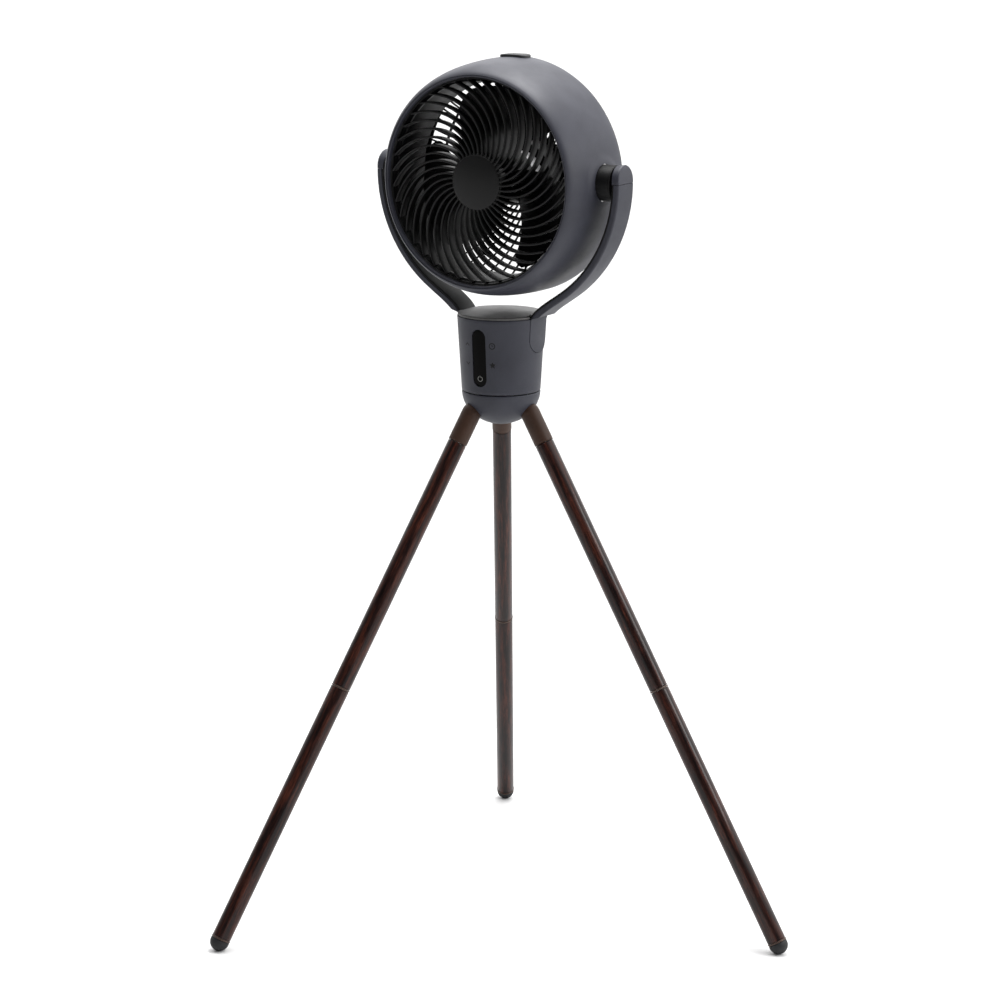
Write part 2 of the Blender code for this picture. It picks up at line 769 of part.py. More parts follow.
def make_top_pad():
    """A small block of rubbery plastic on the drum's crest, hollowed to sit on its curve."""
    mesh = box_mesh("top_pad", PAD_SIZE, (0, DRUM_R + PAD_RISE - PAD_SIZE[1] / 2, PAD_MIDDLE))
    work = bmesh.new()
    work.from_mesh(mesh)
    upright = [
        edge
        for edge in work.edges
        if abs(edge.verts[0].co.x - edge.verts[1].co.x) < GAP and abs(edge.verts[0].co.z - edge.verts[1].co.z) < GAP
    ]
    bmesh.ops.bevel(work, geom=upright, offset=PAD_CORNER, segments=4, affect="EDGES", profile=0.5)
    work.to_mesh(mesh)
    work.free()
    shade(mesh)
    pad = place(bpy.data.objects.new("top_pad", mesh), "rubber", HEAD)
    cut(pad, cylinder_cutter("pad_seat", DRUM_R + GAP, -0.10, 0.06, HEAD, None, FINE * 2))


def spiral_angle(share, start, end, sweep):
    """How far round a rib has turned at this share of the opening's radius: slow at the hub, then faster."""
    return sweep * ((share - start) / (end - start)) ** 1.35


def slotted_plate(name, plate_r, slot_span, ribs, sweep, forward):
    """A round plate whose slots leave the grille's ribs standing between them."""
    plate = [(plate_r * math.cos(a), plate_r * math.sin(a)) for a in steps_round(FINE)]
    inner_r, outer_r = slot_span
    outlines = [plate]
    stops = 6
    for rib in range(ribs):
        first, second = [], []
        for i in range(stops):
            radius = inner_r + (outer_r - inner_r) * i / (stops - 1)
            bend = spiral_angle(radius, inner_r, outer_r, sweep) if sweep else 0
            half = math.pi / ribs - RIB_WIDTH / radius / 2
            middle = 2 * math.pi * rib / ribs + bend
            for edge, angle in ((first, middle - half), (second, middle + half)):
                edge.append((radius * math.cos(angle), radius * math.sin(angle)))
        outlines.append(first + second[::-1])
    matrix = Matrix.Translation((0, 0, forward))
    return flat(name, outlines, GRILLE_THICKNESS, "black_plastic", HEAD, matrix)


def steps_round(count):
    return [2 * math.pi * i / count for i in range(count)]


def dish(plate):
    """Bulges the rear grille backwards between its flat middle and its rim, to clear the motor."""
    grille = as_mesh(plate)
    middle_r, rim_r = REAR_GRILLE_SLOTS
    bulge = DRUM_BACK - GAP - REAR_GRILLE_CREST
    for vertex in grille.data.vertices:
        share = (math.hypot(vertex.co.x, vertex.co.y) - middle_r) / (rim_r - middle_r)
        share = min(max(share, 0), 1)
        vertex.co.z -= bulge * math.cos(math.pi / 2 * share**1.5)
    grille.data.materials.append(SURFACES["black_plastic"])
    return grille


def make_grilles():
    middle = GRILLE_FRONT - GRILLE_THICKNESS / 2
    span = (HUB_CAP_R + 0.001, 0.1115)
    slotted_plate("front_grille", LIP_IN_R - GAP, span, FRONT_RIBS, FRONT_SWEEP, middle)
    rear_middle = DRUM_BACK - GAP - GRILLE_THICKNESS / 2
    dish(slotted_plate("rear_grille", REAR_GRILLE_R, REAR_GRILLE_SLOTS, REAR_RIBS, 0, rear_middle))
    back = GRILLE_FRONT + GAP
    turned(
        "grille_cap",
        [
            (0, LIP_FRONT),
            (0.0150, LIP_FRONT - 0.0004),
            (0.0250, LIP_FRONT - 0.0013),
            (HUB_CAP_R - 0.0010, LIP_FRONT - 0.0024),
            (HUB_CAP_R, back),
            (0, back),
        ],
        "black_plastic",
        HEAD,
        MEDIUM,
    )


def make_motor():
    front, back = 0.0080, -0.0480
    turned(
        "fan_motor",
        [
            (0, -0.0300),
            (SPINDLE_R + 0.0004, -0.0300),
            (SPINDLE_R + 0.0004, front),
            (MOTOR_R, front),
            (MOTOR_R, back),
            (0, back),
        ],
        "cast_aluminium",
        HEAD,
        COARSE,
    )
    mount_front, mount_back, wall = back - GAP, REAR_GRILLE_CREST + GAP, 0.003
    turned(
        "motor_mount",
        [
            (0, mount_front),
            (0.0360, mount_front),
            (0.0360, mount_back),
            (0.0360 - wall, mount_back),
            (0.0360 - wall, mount_front - wall),
            (0, mount_front - wall),
        ],
        "black_plastic",
        HEAD,
        MEDIUM,
    )


def blade_stations(turned_by):
    """Rings of points round one blade, from inside the hub to the tip."""
    stations = []
    rows, chords = 7, 7
    root_r = IMPELLER_HUB_R - 0.0015
    for i in range(rows):
        share = i / (rows - 1)
        radius = root_r + (BLADE_TIP_R - root_r) * share
        middle = turned_by - BLADE_SWEEP * (share - 0.5)
        pitch = 0.0150 - 0.0030 * share
        front, back = [], []
        for j in range(chords):
            across = j / (chords - 1) - 0.5
            angle = middle + BLADE_SPAN * across
            lift = 2 * pitch * across + 0.0040 * (0.25 - across**2)
            half = 0.0011 - 0.0009 * abs(2 * across) ** 2
            x, y = radius * math.cos(angle), radius * math.sin(angle)
            front.append((x, y, lift + half))
            back.append((x, y, lift - half))
        stations.append(front + back[::-1])
    return stations


def make_rotor():
    front, back, wall = 0.0180, -0.0220, 0.0025
    hub_profile = [
        (SPINDLE_R + GAP, front),
        (IMPELLER_HUB_R - 0.0030, front),
        (IMPELLER_HUB_R, front - 0.0030),
        (IMPELLER_HUB_R, back),
        (IMPELLER_HUB_R - wall, back),
        (IMPELLER_HUB_R - wall, front - 0.0050),
        (SPINDLE_R + GAP, front - 0.0050),
    ]
    impeller = turned("impeller", hub_profile, "black_plastic", ROTOR, MEDIUM, closed=True)
    first = math.radians(86)
    for blade in range(BLADES):
        stations = blade_stations(first + 2 * math.pi * blade / BLADES)
        shape = loft(f"blade_{blade + 1}", stations, None, ROTOR, None, CUTTERS)
        cut(impeller, hide_cutter(shape), operation="UNION")
    disc("fan_spindle", SPINDLE_R, -0.0290, 0.0240, "steel", ROTOR, SMALL)
    hexagon_bore = (SPINDLE_R + GAP) / math.cos(math.pi / 6)
    ring("spindle_nut", hexagon_bore, 0.0080, front + GAP, 0.0250, "black_plastic", ROTOR, 6)


# ---------------------------------------------------------------- assembly


def stand_on_origin():
    """Moves the whole fan so that the origin lies under the middle of its box."""
    bpy.context.view_layer.update()
    graph = bpy.context.evaluated_depsgraph_get()
    corners = []
    for thing in PARTS.objects:
        if thing.type == "EMPTY":
            continue
        evaluated = thing.evaluated_get(graph)
        mesh = evaluated.to_mesh()
        corners += [thing.matrix_world @ vertex.co for vertex in mesh.vertices]
        evaluated.to_mesh_clear()
    for axis in range(2):
        values = [corner[axis] for corner in corners]
        ROOT.location[axis] = -(min(values) + max(values)) / 2
    bpy.context.view_layer.update()


FLOOR = hide_cutter(
    place(
        bpy.data.objects.new("floor_level", box_mesh("floor_level", (1.2, 1.2, 0.05), (0, 0, -0.025))),
        None,
        TRIPOD,
        None,
        CUTTERS,
    )
)
for leg in range(len(LEGS)):
    make_leg(leg)
make_hub()
for arm in SIDES:
    make_arm(arm)
make_body()
make_drum()
make_top_pad()
make_grilles()
make_motor()
make_rotor()
stand_on_origin()
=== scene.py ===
import json
import math

import bmesh
import bpy
from mathutils import Matrix, Vector


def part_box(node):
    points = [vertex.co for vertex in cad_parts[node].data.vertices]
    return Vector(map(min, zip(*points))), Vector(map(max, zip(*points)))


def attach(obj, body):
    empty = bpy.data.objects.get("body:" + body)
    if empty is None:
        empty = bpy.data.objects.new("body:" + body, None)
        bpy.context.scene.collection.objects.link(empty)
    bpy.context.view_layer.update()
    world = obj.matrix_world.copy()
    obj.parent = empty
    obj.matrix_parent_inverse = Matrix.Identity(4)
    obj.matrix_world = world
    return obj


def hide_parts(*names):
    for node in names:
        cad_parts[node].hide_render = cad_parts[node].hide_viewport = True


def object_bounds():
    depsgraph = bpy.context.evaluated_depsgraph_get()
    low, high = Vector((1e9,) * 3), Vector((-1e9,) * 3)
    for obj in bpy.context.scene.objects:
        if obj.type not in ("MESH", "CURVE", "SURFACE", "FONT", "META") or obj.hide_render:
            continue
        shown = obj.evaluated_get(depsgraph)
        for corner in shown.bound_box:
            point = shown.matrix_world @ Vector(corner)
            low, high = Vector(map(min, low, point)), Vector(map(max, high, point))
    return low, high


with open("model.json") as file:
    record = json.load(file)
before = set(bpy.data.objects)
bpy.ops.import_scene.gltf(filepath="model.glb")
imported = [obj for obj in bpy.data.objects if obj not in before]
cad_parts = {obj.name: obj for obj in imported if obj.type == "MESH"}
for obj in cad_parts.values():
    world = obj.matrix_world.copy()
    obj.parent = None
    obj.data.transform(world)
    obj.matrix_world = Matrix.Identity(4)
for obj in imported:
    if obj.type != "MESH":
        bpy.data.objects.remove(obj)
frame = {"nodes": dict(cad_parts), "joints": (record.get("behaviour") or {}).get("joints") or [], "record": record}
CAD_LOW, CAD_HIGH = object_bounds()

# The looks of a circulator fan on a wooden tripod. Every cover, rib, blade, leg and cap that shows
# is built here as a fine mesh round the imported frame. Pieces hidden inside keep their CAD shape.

# ---------------------------------------------------------------- places and sizes

JOINTS = {joint["name"]: joint for joint in frame["joints"]}
PAN = Vector(JOINTS["pan"]["pos_m"])
PIVOT = Vector(JOINTS["tilt"]["pos_m"])
HUB = Vector(JOINTS["spin"]["pos_m"])
FORWARD = Matrix.Rotation(math.radians(90), 4, "X")  # local +Z forward and local +Y up
TILT = Matrix.Translation(PIVOT) @ FORWARD
HEAD = Matrix.Translation(HUB) @ FORWARD
UPRIGHT = Matrix.Translation((PAN.x, PAN.y, 0))  # +Z up the pan axis, from the floor
SIDES = {"left": -1, "right": 1}  # seen from the front


def heights(node):
    low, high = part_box(node)
    return low.z, high.z


def forward_span(node):
    """How far back and how far forward of the drum's middle a node of the head reaches."""
    low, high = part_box(node)
    return HUB.y - high.y, HUB.y - low.y


def half_width(node):
    low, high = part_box(node)
    return (high.x - low.x) / 2


# Clearances
GAP = 0.0003  # between pieces that touch on the real fan
SEAM = 0.0005  # open line between covers that show

# Legs
TRIPOD_TURN = 31.1  # degrees, against the head
LEG_HEADINGS = (90, -30, -150)  # degrees, in the tripod's own frame
LEG_SPLAY = math.radians(29.41)
LEG_APEX_HEIGHT = 0.6515  # where the three leg axes meet
LEG_R = 0.0107
SOCKET_R = 0.0111
SOCKET_TOP_HEIGHT = 0.592
SOCKET_END_HEIGHT = 0.5509
SOCKET_SHOULDER = (0.0060, 0.0105)  # how much the shoulder draws in, and over what length
SECTION_JOINT_HEIGHT = 0.2845
RING_THICKNESS = 0.0018
FOOT_R = 0.0110
FOOT_FLAT_R = 0.0035
FOOT_NECK = 0.0025  # straight part of a foot tip above its ball

# Dome and body
DOME_R = half_width("base_dome")
PAN_SEAM_HEIGHT = PAN.z
DOME_DEPTH = 0.0395
DOME_WALL = 0.0025
BODY_TOP_HEIGHT = heights("body_shell")[1]
BODY_TOP_R = 0.0498
BODY_FOOT_R = 0.0447
BODY_WALL = 0.0028
COVER_LOW, COVER_TOP = heights("top_cover")
COVER_EDGE = 0.0030
DISPLAY_HEIGHT = 0.6495
DISPLAY_WIDTH = 0.0170
DISPLAY_LENGTH = 0.0650
DISPLAY_RECESS = 0.0014
INLET_HEIGHT = 0.6260
INLET_R = 0.0055

# Yoke
ARM_R = 0.1543  # middle of the arm's thickness, about the tilt axis
ARM_HALF_THICKNESS = 0.0045
ARM_HALF_DEPTH = 0.0170
ARM_LINER = 0.0022  # thickness of the inner lining
ARM_ARC_END = math.radians(55)  # where the arc runs over into the S-bend
TONGUE_X = 0.0455
TONGUE_BEND_END = -0.1715  # from the tilt axis, like the next two
TONGUE_END = -0.1960
ARM_CAP_RISE = 0.0205
ARM_EASE = 0.0026  # radius of the arm's outer edges
BOSS_R = 0.0200
BOSS_IN, BOSS_OUT = 0.1205, 0.1480
BOSS_FLANGE_R = 0.0235
COLLAR_RISE = 0.0015  # how far the drum swells round a pivot
COLLAR_R = 0.0330
COLLAR_FADE = 0.0110

# Head
DRUM_BACK, LIP_FRONT = forward_span("drum_shell")
DRUM_R = half_width("drum_shell")
LIP_IN_R = 0.1154
LIP_OUT_R = 0.1170
NOSE_END = -0.0320  # where the nose has run out to the full radius
BARREL_END = -0.0400
DRUM_WALL = 0.0030
DUCT_BACK, DUCT_FRONT = forward_span("inner_duct")
DUCT_R = 0.1085
GRILLE_FRONT = 0.0497
GRILLE_BACK = 0.0385
FRONT_RIBS = 40
FRONT_SWEEP = math.radians(46)  # how far round a rib turns from hub to rim
RIB_WIDTH = 0.0022
HUB_CAP_R = half_width("grille_cap")
REAR_RIBS = 60
REAR_RIM_R = half_width("rear_grille")
REAR_MIDDLE_R = 0.0420
REAR_SLOT_R = 0.1250
REAR_CREST, REAR_FRONT = forward_span("rear_grille")
REAR_THICKNESS = 0.0030
MOUNT_BACK, MOUNT_FRONT = forward_span("motor_mount")
BLADES = 3
BLADE_TIP_R = 0.1030
BLADE_SPAN = math.radians(82)
FIRST_BLADE = math.radians(88)
BLADE_SWEEP = math.radians(28)
IMPELLER_HUB_R = 0.0310
HUB_BACK, HUB_FRONT = -0.0220, 0.0180
PAD_SIZE = (0.0350, 0.0200)
PAD_MIDDLE = -0.0330  # forward of the middle of the drum
PAD_RISE = CAD_HIGH.z - HUB.z - DRUM_R

# ---------------------------------------------------------------- materials


def start_surface(name, **constants):
    """A Principled material with its constant sockets set, ready for its node work."""
    material = bpy.data.materials.new(name)
    material.use_nodes = True
    tree = material.node_tree
    shader = tree.nodes["Principled BSDF"]
    for socket, value in constants.items():
        shader.inputs[socket.replace("_", " ")].default_value = value
    place = tree.nodes.new("ShaderNodeTexCoord").outputs["Object"]
    return material, tree, shader, place


def noise(tree, place, size, detail=2.0):
    """Soft noise whose lumps are about this many metres across."""
    node = tree.nodes.new("ShaderNodeTexNoise")
    node.inputs["Scale"].default_value = 1 / size
    node.inputs["Detail"].default_value = detail
    tree.links.new(place, node.inputs["Vector"])
    return node.outputs["Fac"]


def stretched(tree, place, scale, rotation=(0, 0, 0)):
    """Places scaled along each axis, so that a texture on them is drawn out where the scale is small."""
    node = tree.nodes.new("ShaderNodeMapping")
    node.inputs["Scale"].default_value = scale
    node.inputs["Rotation"].default_value = rotation
    tree.links.new(place, node.inputs["Vector"])
    return node.outputs["Vector"]


def spread(tree, value, low, high, start=0.3, end=0.7):
    """A noise value turned into a number between low and high."""
    node = tree.nodes.new("ShaderNodeMapRange")
    node.inputs["From Min"].default_value = start
    node.inputs["From Max"].default_value = end
    node.inputs["To Min"].default_value = low
    node.inputs["To Max"].default_value = high
    tree.links.new(value, node.inputs["Value"])
    return node.outputs["Result"]


def ramp(tree, value, stops):
    """A noise value turned into a colour by (place, colour) stops."""
    node = tree.nodes.new("ShaderNodeValToRGB")
    elements = node.color_ramp.elements
    while len(elements) < len(stops):
        elements.new(0.5)
    for element, (position, colour) in zip(elements, stops):
        element.position = position
        element.color = (*colour, 1.0)
    tree.links.new(value, node.inputs["Fac"])
    return node.outputs["Color"]


def darken(tree, colour, value):
    """A colour multiplied by a number that varies over the surface."""
    node = tree.nodes.new("ShaderNodeVectorMath")
    node.operation = "SCALE"
    tree.links.new(colour, node.inputs[0])
    tree.links.new(value, node.inputs["Scale"])
    return node.outputs["Vector"]


def bump(tree, shader, height, depth):
    """Fine relief of this depth in metres."""
    node = tree.nodes.new("ShaderNodeBump")
    node.inputs["Distance"].default_value = depth
    node.inputs["Strength"].default_value = 1.0
    tree.links.new(height, node.inputs["Height"])
    tree.links.new(node.outputs["Normal"], shader.inputs["Normal"])


def shades(colour, share):
    """The colour made darker and lighter by a share of itself."""
    return [tuple(channel * factor for channel in colour) for factor in (1 - share, 1 + share)]


def plastic(name, colour, roughness, grain=0.0007, depth=0.00003, mottle=0.10, **constants):
    """Moulded plastic: a fine spark texture, with slow drifts of tone and of gloss."""
    material, tree, shader, place = start_surface(name, **constants)
    drift = noise(tree, place, 0.035, 3)
    texture = noise(tree, place, grain, 2)
    dark, light = shades(colour, mottle)
    tone = ramp(tree, drift, [(0.3, dark), (0.7, light)])
    tree.links.new(darken(tree, tone, spread(tree, texture, 0.90, 1.10)), shader.inputs["Base Color"])
    tree.links.new(spread(tree, drift, roughness + 0.05, roughness - 0.05), shader.inputs["Roughness"])
    bump(tree, shader, texture, depth)
    return material


def wood(name, leg):
    """Dark varnished wood: reddish streaks and fine pores that run along the leg's own axis."""
    material, tree, shader, place = start_surface(
        name, Coat_Weight=0.22, Coat_Roughness=0.06, Specular_IOR_Level=0.15
    )
    axis = tree.nodes.new("ShaderNodeMapping")
    axis.vector_type = "TEXTURE"
    axis.inputs["Location"].default_value = leg.to_translation()
    axis.inputs["Rotation"].default_value = leg.to_euler()
    tree.links.new(place, axis.inputs["Vector"])
    along_leg = axis.outputs["Vector"]
    figure = noise(tree, stretched(tree, along_leg, (1, 1, 0.10)), 0.0042, 4)
    streaks = noise(tree, stretched(tree, along_leg, (1, 1, 0.035)), 0.0012, 3)
    pores = noise(tree, stretched(tree, along_leg, (1, 1, 0.06)), 0.0005, 1)
    stops = [
        (0.34, (0.0055, 0.0019, 0.0018)),
        (0.50, (0.0190, 0.0058, 0.0042)),
        (0.66, (0.050, 0.0135, 0.0080)),
    ]
    tone = ramp(tree, figure, stops)
    tone = darken(tree, tone, spread(tree, streaks, 0.55, 1.45))
    tone = darken(tree, tone, spread(tree, pores, 0.45, 1.08, 0.36, 0.50))
    tree.links.new(tone, shader.inputs["Base Color"])
    tree.links.new(spread(tree, streaks, 0.30, 0.44), shader.inputs["Roughness"])
    bump(tree, shader, pores, 0.00004)
    return material


def metal(name, colour, roughness, grain, scale, depth):
    """Bare metal, with lumps for a casting or long fine lines for a drawn or turned piece."""
    material, tree, shader, place = start_surface(name, Metallic=1.0)
    texture = noise(tree, stretched(tree, place, scale), grain, 3)
    dark, light = shades(colour, 0.12)
    tree.links.new(ramp(tree, texture, [(0.35, dark), (0.65, light)]), shader.inputs["Base Color"])
    tree.links.new(spread(tree, texture, roughness - 0.08, roughness + 0.08), shader.inputs["Roughness"])
    bump(tree, shader, texture, depth)
    return material


def circuit_board():
    """Green solder mask with a faint pattern of tracks under it."""
    material, tree, shader, place = start_surface("circuit_board", Coat_Weight=0.3, Coat_Roughness=0.2)
    tracks = tree.nodes.new("ShaderNodeTexBrick")
    tracks.inputs["Scale"].default_value = 160
    tracks.inputs["Color1"].default_value = (0.010, 0.085, 0.038, 1)
    tracks.inputs["Color2"].default_value = (0.012, 0.110, 0.050, 1)
    tracks.inputs["Mortar"].default_value = (0.006, 0.050, 0.024, 1)
    turned_up = stretched(tree, place, (1, 1, 1), (math.pi / 2, 0, 0))
    tree.links.new(turned_up, tracks.inputs["Vector"])
    tree.links.new(tracks.outputs["Color"], shader.inputs["Base Color"])
    tree.links.new(spread(tree, noise(tree, place, 0.004), 0.40, 0.60), shader.inputs["Roughness"])
    bump(tree, shader, tracks.outputs["Fac"], 0.00003)
    return material


def leg_matrix(index):
    """Local +Z runs up the leg, and the origin is where the three leg axes meet."""
    heading = math.radians(TRIPOD_TURN + LEG_HEADINGS[index])
    apex = Matrix.Translation((PAN.x, PAN.y, LEG_APEX_HEIGHT))
    return apex @ Matrix.Rotation(heading, 4, "Z") @ Matrix.Rotation(-LEG_SPLAY, 4, "Y")


LEGS = [leg_matrix(index) for index in range(len(LEG_HEADINGS))]

SURFACES = {
    "slate_plastic": plastic(
        "slate_plastic", (0.0225, 0.0235, 0.0335), 0.52, Specular_IOR_Level=0.33
    ),
    "charcoal_plastic": plastic(
        "charcoal_plastic", (0.060, 0.059, 0.058), 0.50, 0.0016, 0.00009, 0.16
    ),
    "grille_plastic": plastic(
        "grille_plastic", (0.0045, 0.0045, 0.0047), 0.40, 0.0006, 0.00002, Specular_IOR_Level=0.18
    ),
    "black_plastic": plastic(
        "black_plastic", (0.0036, 0.0036, 0.0038), 0.44, 0.0006, 0.00002, Specular_IOR_Level=0.16
    ),
    "display_panel": plastic(
        "display_panel", (0.0022, 0.0020, 0.0020), 0.13, 0.0100, 0.000004, 0.25, Specular_IOR_Level=0.04
    ),
    "socket_plastic": plastic(
        "socket_plastic", (0.038, 0.0185, 0.0115), 0.50, 0.0008, 0.00004, Specular_IOR_Level=0.22
    ),
    "bronze_ring": plastic("bronze_ring", (0.060, 0.034, 0.024), 0.38, 0.0006, 0.00002, Metallic=0.3),
    "foot_rubber": plastic(
        "foot_rubber", (0.011, 0.0115, 0.013), 0.60, 0.0009, 0.00005, 0.15, Specular_IOR_Level=0.35
    ),
    "motor_metal": metal("motor_metal", (0.50, 0.50, 0.51), 0.52, 0.0012, (1, 1, 1), 0.00008),
    "steel": metal("steel", (0.45, 0.45, 0.46), 0.34, 0.0006, (1, 1, 0.08), 0.00001),
    "circuit_board": circuit_board(),
    "printed_mark": plastic(
        "printed_mark", (0.0025, 0.0025, 0.0030), 0.45, 0.0006, 0.000005, Specular_IOR_Level=0.2
    ),
    "lit_mark": plastic("lit_mark", (0.160, 0.160, 0.150), 0.40, 0.0006, 0.000005),
}
for index, leg in enumerate(LEGS):
    SURFACES[f"dark_wood_{index + 1}"] = wood(f"dark_wood_{index + 1}", leg)

# ---------------------------------------------------------------- mesh helpers


def around(steps):
    return [2 * math.pi * i / steps for i in range(steps)]


def add_turned(work, profile, steps=96, closed=False, matrix=None):
    """Adds a profile of (radius, z) points turned about local Z."""
    matrix = matrix or Matrix()
    rings = []
    for radius, z in profile:
        angles = around(steps) if radius > 1e-6 else [0]
        ring = [(radius * math.cos(a), radius * math.sin(a), z) for a in angles]
        rings.append([work.verts.new(matrix @ Vector(point)) for point in ring])
    pairs = list(zip(rings, rings[1:]))
    if closed:
        pairs.append((rings[-1], rings[0]))
    for near, far in pairs:
        for i in range(steps):
            j = (i + 1) % steps
            corners = (near[i % len(near)], near[j % len(near)], far[j % len(far)], far[i % len(far)])
            face = list(dict.fromkeys(corners))
            if len(face) > 2:
                work.faces.new(face)
    return work


def add_loft(work, stations, matrix=None):
    """Adds a closed skin over rings of points that all have the same number of points."""
    matrix = matrix or Matrix()
    rings = [[work.verts.new(matrix @ Vector(point)) for point in station] for station in stations]
    count = len(rings[0])
    for near, far in zip(rings, rings[1:]):
        for i in range(count):
            j = (i + 1) % count
            work.faces.new((near[i], near[j], far[j], far[i]))
    work.faces.new(rings[0][::-1])
    work.faces.new(rings[-1])
    return work


def rounded(outline, radius, steps=4, closed=False):
    """The same outline with its corners eased, by one radius or by one for each corner."""
    count = len(outline)
    radii = radius if isinstance(radius, (list, tuple)) else [radius] * count
    eased = []
    for i, (corner, reach) in enumerate(zip(map(Vector, outline), radii)):
        if not closed and i in (0, count - 1) or reach == 0:
            eased.append(tuple(corner))
            continue
        before = Vector(outline[i - 1]) - corner
        after = Vector(outline[(i + 1) % count]) - corner
        reach = min(reach, before.length * 0.45, after.length * 0.45)
        start = corner + before.normalized() * reach
        stop = corner + after.normalized() * reach
        for step in range(steps + 1):
            t = step / steps
            eased.append(tuple(start * (1 - t) ** 2 + corner * (2 * t * (1 - t)) + stop * t**2))
    return eased


def smooth(mesh, sharp):
    mesh.shade_smooth()
    mesh.set_sharp_from_angle(angle=math.radians(sharp))


def to_mesh(work, name):
    bmesh.ops.recalc_face_normals(work, faces=work.faces)
    mesh = bpy.data.meshes.new(name)
    work.to_mesh(mesh)
    work.free()
    return mesh


def add_piece(name, work, body, surface, nodes=(), sharp=38):
    """Makes a finished piece of the mesh, rides it on its body and hides the CAD nodes it stands for."""
    mesh = to_mesh(work, name)
    smooth(mesh, sharp)
    mesh.materials.append(SURFACES[surface])
    piece = bpy.data.objects.new(name, mesh)
    bpy.context.scene.collection.objects.link(piece)
    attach(piece, body)
    if nodes:
        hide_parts(*nodes)
    return piece


def carve(piece, cutters, sharp=38):
    """Cuts closed meshes out of a piece and keeps the result as the piece's own mesh."""
    tools = []
    for cutter in cutters:
        tool = bpy.data.objects.new("cutter", cutter)
        bpy.context.scene.collection.objects.link(tool)
        tools.append(tool)
        boolean = piece.modifiers.new("cut", "BOOLEAN")
        boolean.solver = "EXACT"
        boolean.object = tool
    graph = bpy.context.evaluated_depsgraph_get()
    mesh = bpy.data.meshes.new_from_object(piece.evaluated_get(graph))
    piece.modifiers.clear()
    piece.data = mesh
    smooth(mesh, sharp)
    for tool in tools:
        bpy.data.objects.remove(tool)


def rod_cutter(radius, low, high, matrix, steps=64):
    profile = [(0, high), (radius, high), (radius, low), (0, low)]
    return to_mesh(add_turned(bmesh.new(), profile, steps, matrix=matrix), "rod_cutter")


def eased_step(share):
    """0 to 1 with a soft start and end."""
    share = min(max(share, 0), 1)
    return share * share * (3 - 2 * share)


# ---------------------------------------------------------------- tripod


def along(height):
    """Place on a leg's own axis of the point that stands this high off the floor."""
    return (height - LEG_APEX_HEIGHT) / math.cos(LEG_SPLAY)


def tube_piece(name, outline, ease, surface, leg, nodes):
    """A round piece of a leg: an outer outline, closed on the axis at both ends."""
    top, end = outline[0][1], outline[-1][1]
    profile = rounded([(0, top)] + outline + [(0, end)], ease)
    add_piece(name, add_turned(bmesh.new(), profile, 72, matrix=leg), "tripod", surface, nodes)


def make_leg(index):
    leg = LEGS[index]
    number = index + 1
    socket_top, socket_end = along(SOCKET_TOP_HEIGHT), along(SOCKET_END_HEIGHT)
    joint = along(SECTION_JOINT_HEIGHT)
    ring_top, ring_end = joint + RING_THICKNESS / 2, joint - RING_THICKNESS / 2
    ball = along(math.sqrt(FOOT_R**2 - FOOT_FLAT_R**2))
    foot_top = ball + FOOT_NECK
    foot_ring_low = foot_top + GAP
    foot_ring_top = foot_ring_low + RING_THICKNESS

    draw_in, length = SOCKET_SHOULDER
    shoulder = []
    for i in range(13):
        angle = math.pi / 2 * (1 - i / 12)
        radius = SOCKET_R - draw_in * (1 - math.cos(angle))
        shoulder.append((radius, socket_top - length * (1 - math.sin(angle))))
    collar = [(SOCKET_R, socket_end + 0.0016), (SOCKET_R - 0.0003, socket_end + 0.0013)]
    foot = [(SOCKET_R - 0.0003, socket_end + 0.0011), (SOCKET_R, socket_end + 0.0008)]
    tube_piece(
        f"socket_{number}",
        shoulder + collar + foot + [(SOCKET_R, socket_end + GAP)],
        0.0002,
        "socket_plastic",
        leg,
        [f"leg_socket_{number}"],
    )
    grain = f"dark_wood_{number}"
    for part, top, end in (
        ("upper", socket_end - GAP, ring_top + GAP),
        ("lower", ring_end - GAP, foot_ring_top + GAP),
    ):
        outline = [(LEG_R, top), (LEG_R, end)]
        name = f"{part}_wooden_section_{number}"
        tube_piece(name, outline, 0.0008, grain, leg, [f"{part}_leg_{number}"])
    ring = [(SOCKET_R, ring_top), (SOCKET_R, ring_end)]
    tube_piece(f"section_ring_{number}", ring, 0.0006, "bronze_ring", leg, [f"section_coupler_{number}"])
    ring = [(SOCKET_R, foot_ring_top), (SOCKET_R, foot_ring_low)]
    tube_piece(f"foot_collar_{number}", ring, 0.0006, "bronze_ring", leg, [f"foot_ring_{number}"])
    make_foot(f"foot_tip_{number}", ball, foot_top, leg, f"foot_cap_{number}")


def make_foot(name, ball, top, leg, node):
    """A rubber ball end, pressed flat where it meets the floor."""
    quarter = 20
    full = FOOT_R - 0.00022
    profile = [(0, top), (full - 0.0008, top), (full - 0.0002, top - 0.0003), (full, top - 0.0009)]
    for i in range(quarter + 1):
        angle = math.pi / 2 * i / quarter
        radius = full * math.cos(angle) if i < quarter else 0
        profile.append((radius, ball - full * math.sin(angle)))
    work = add_turned(bmesh.new(), profile, 72, matrix=leg)
    for vert in work.verts:
        vert.co.z = max(vert.co.z, 0)
    add_piece(name, work, "tripod", "foot_rubber", [node])


def dome_side(radius, depth, start, steps):
    """Points down a half-ellipsoid, from this far below its rim to its foot."""
    first = math.asin(start / depth)
    points = []
    for i in range(steps + 1):
        angle = first + (math.pi / 2 - first) * i / steps
        out = radius * math.cos(angle) if i < steps else 0.0
        points.append((out, PAN_SEAM_HEIGHT - depth * math.sin(angle)))
    return points


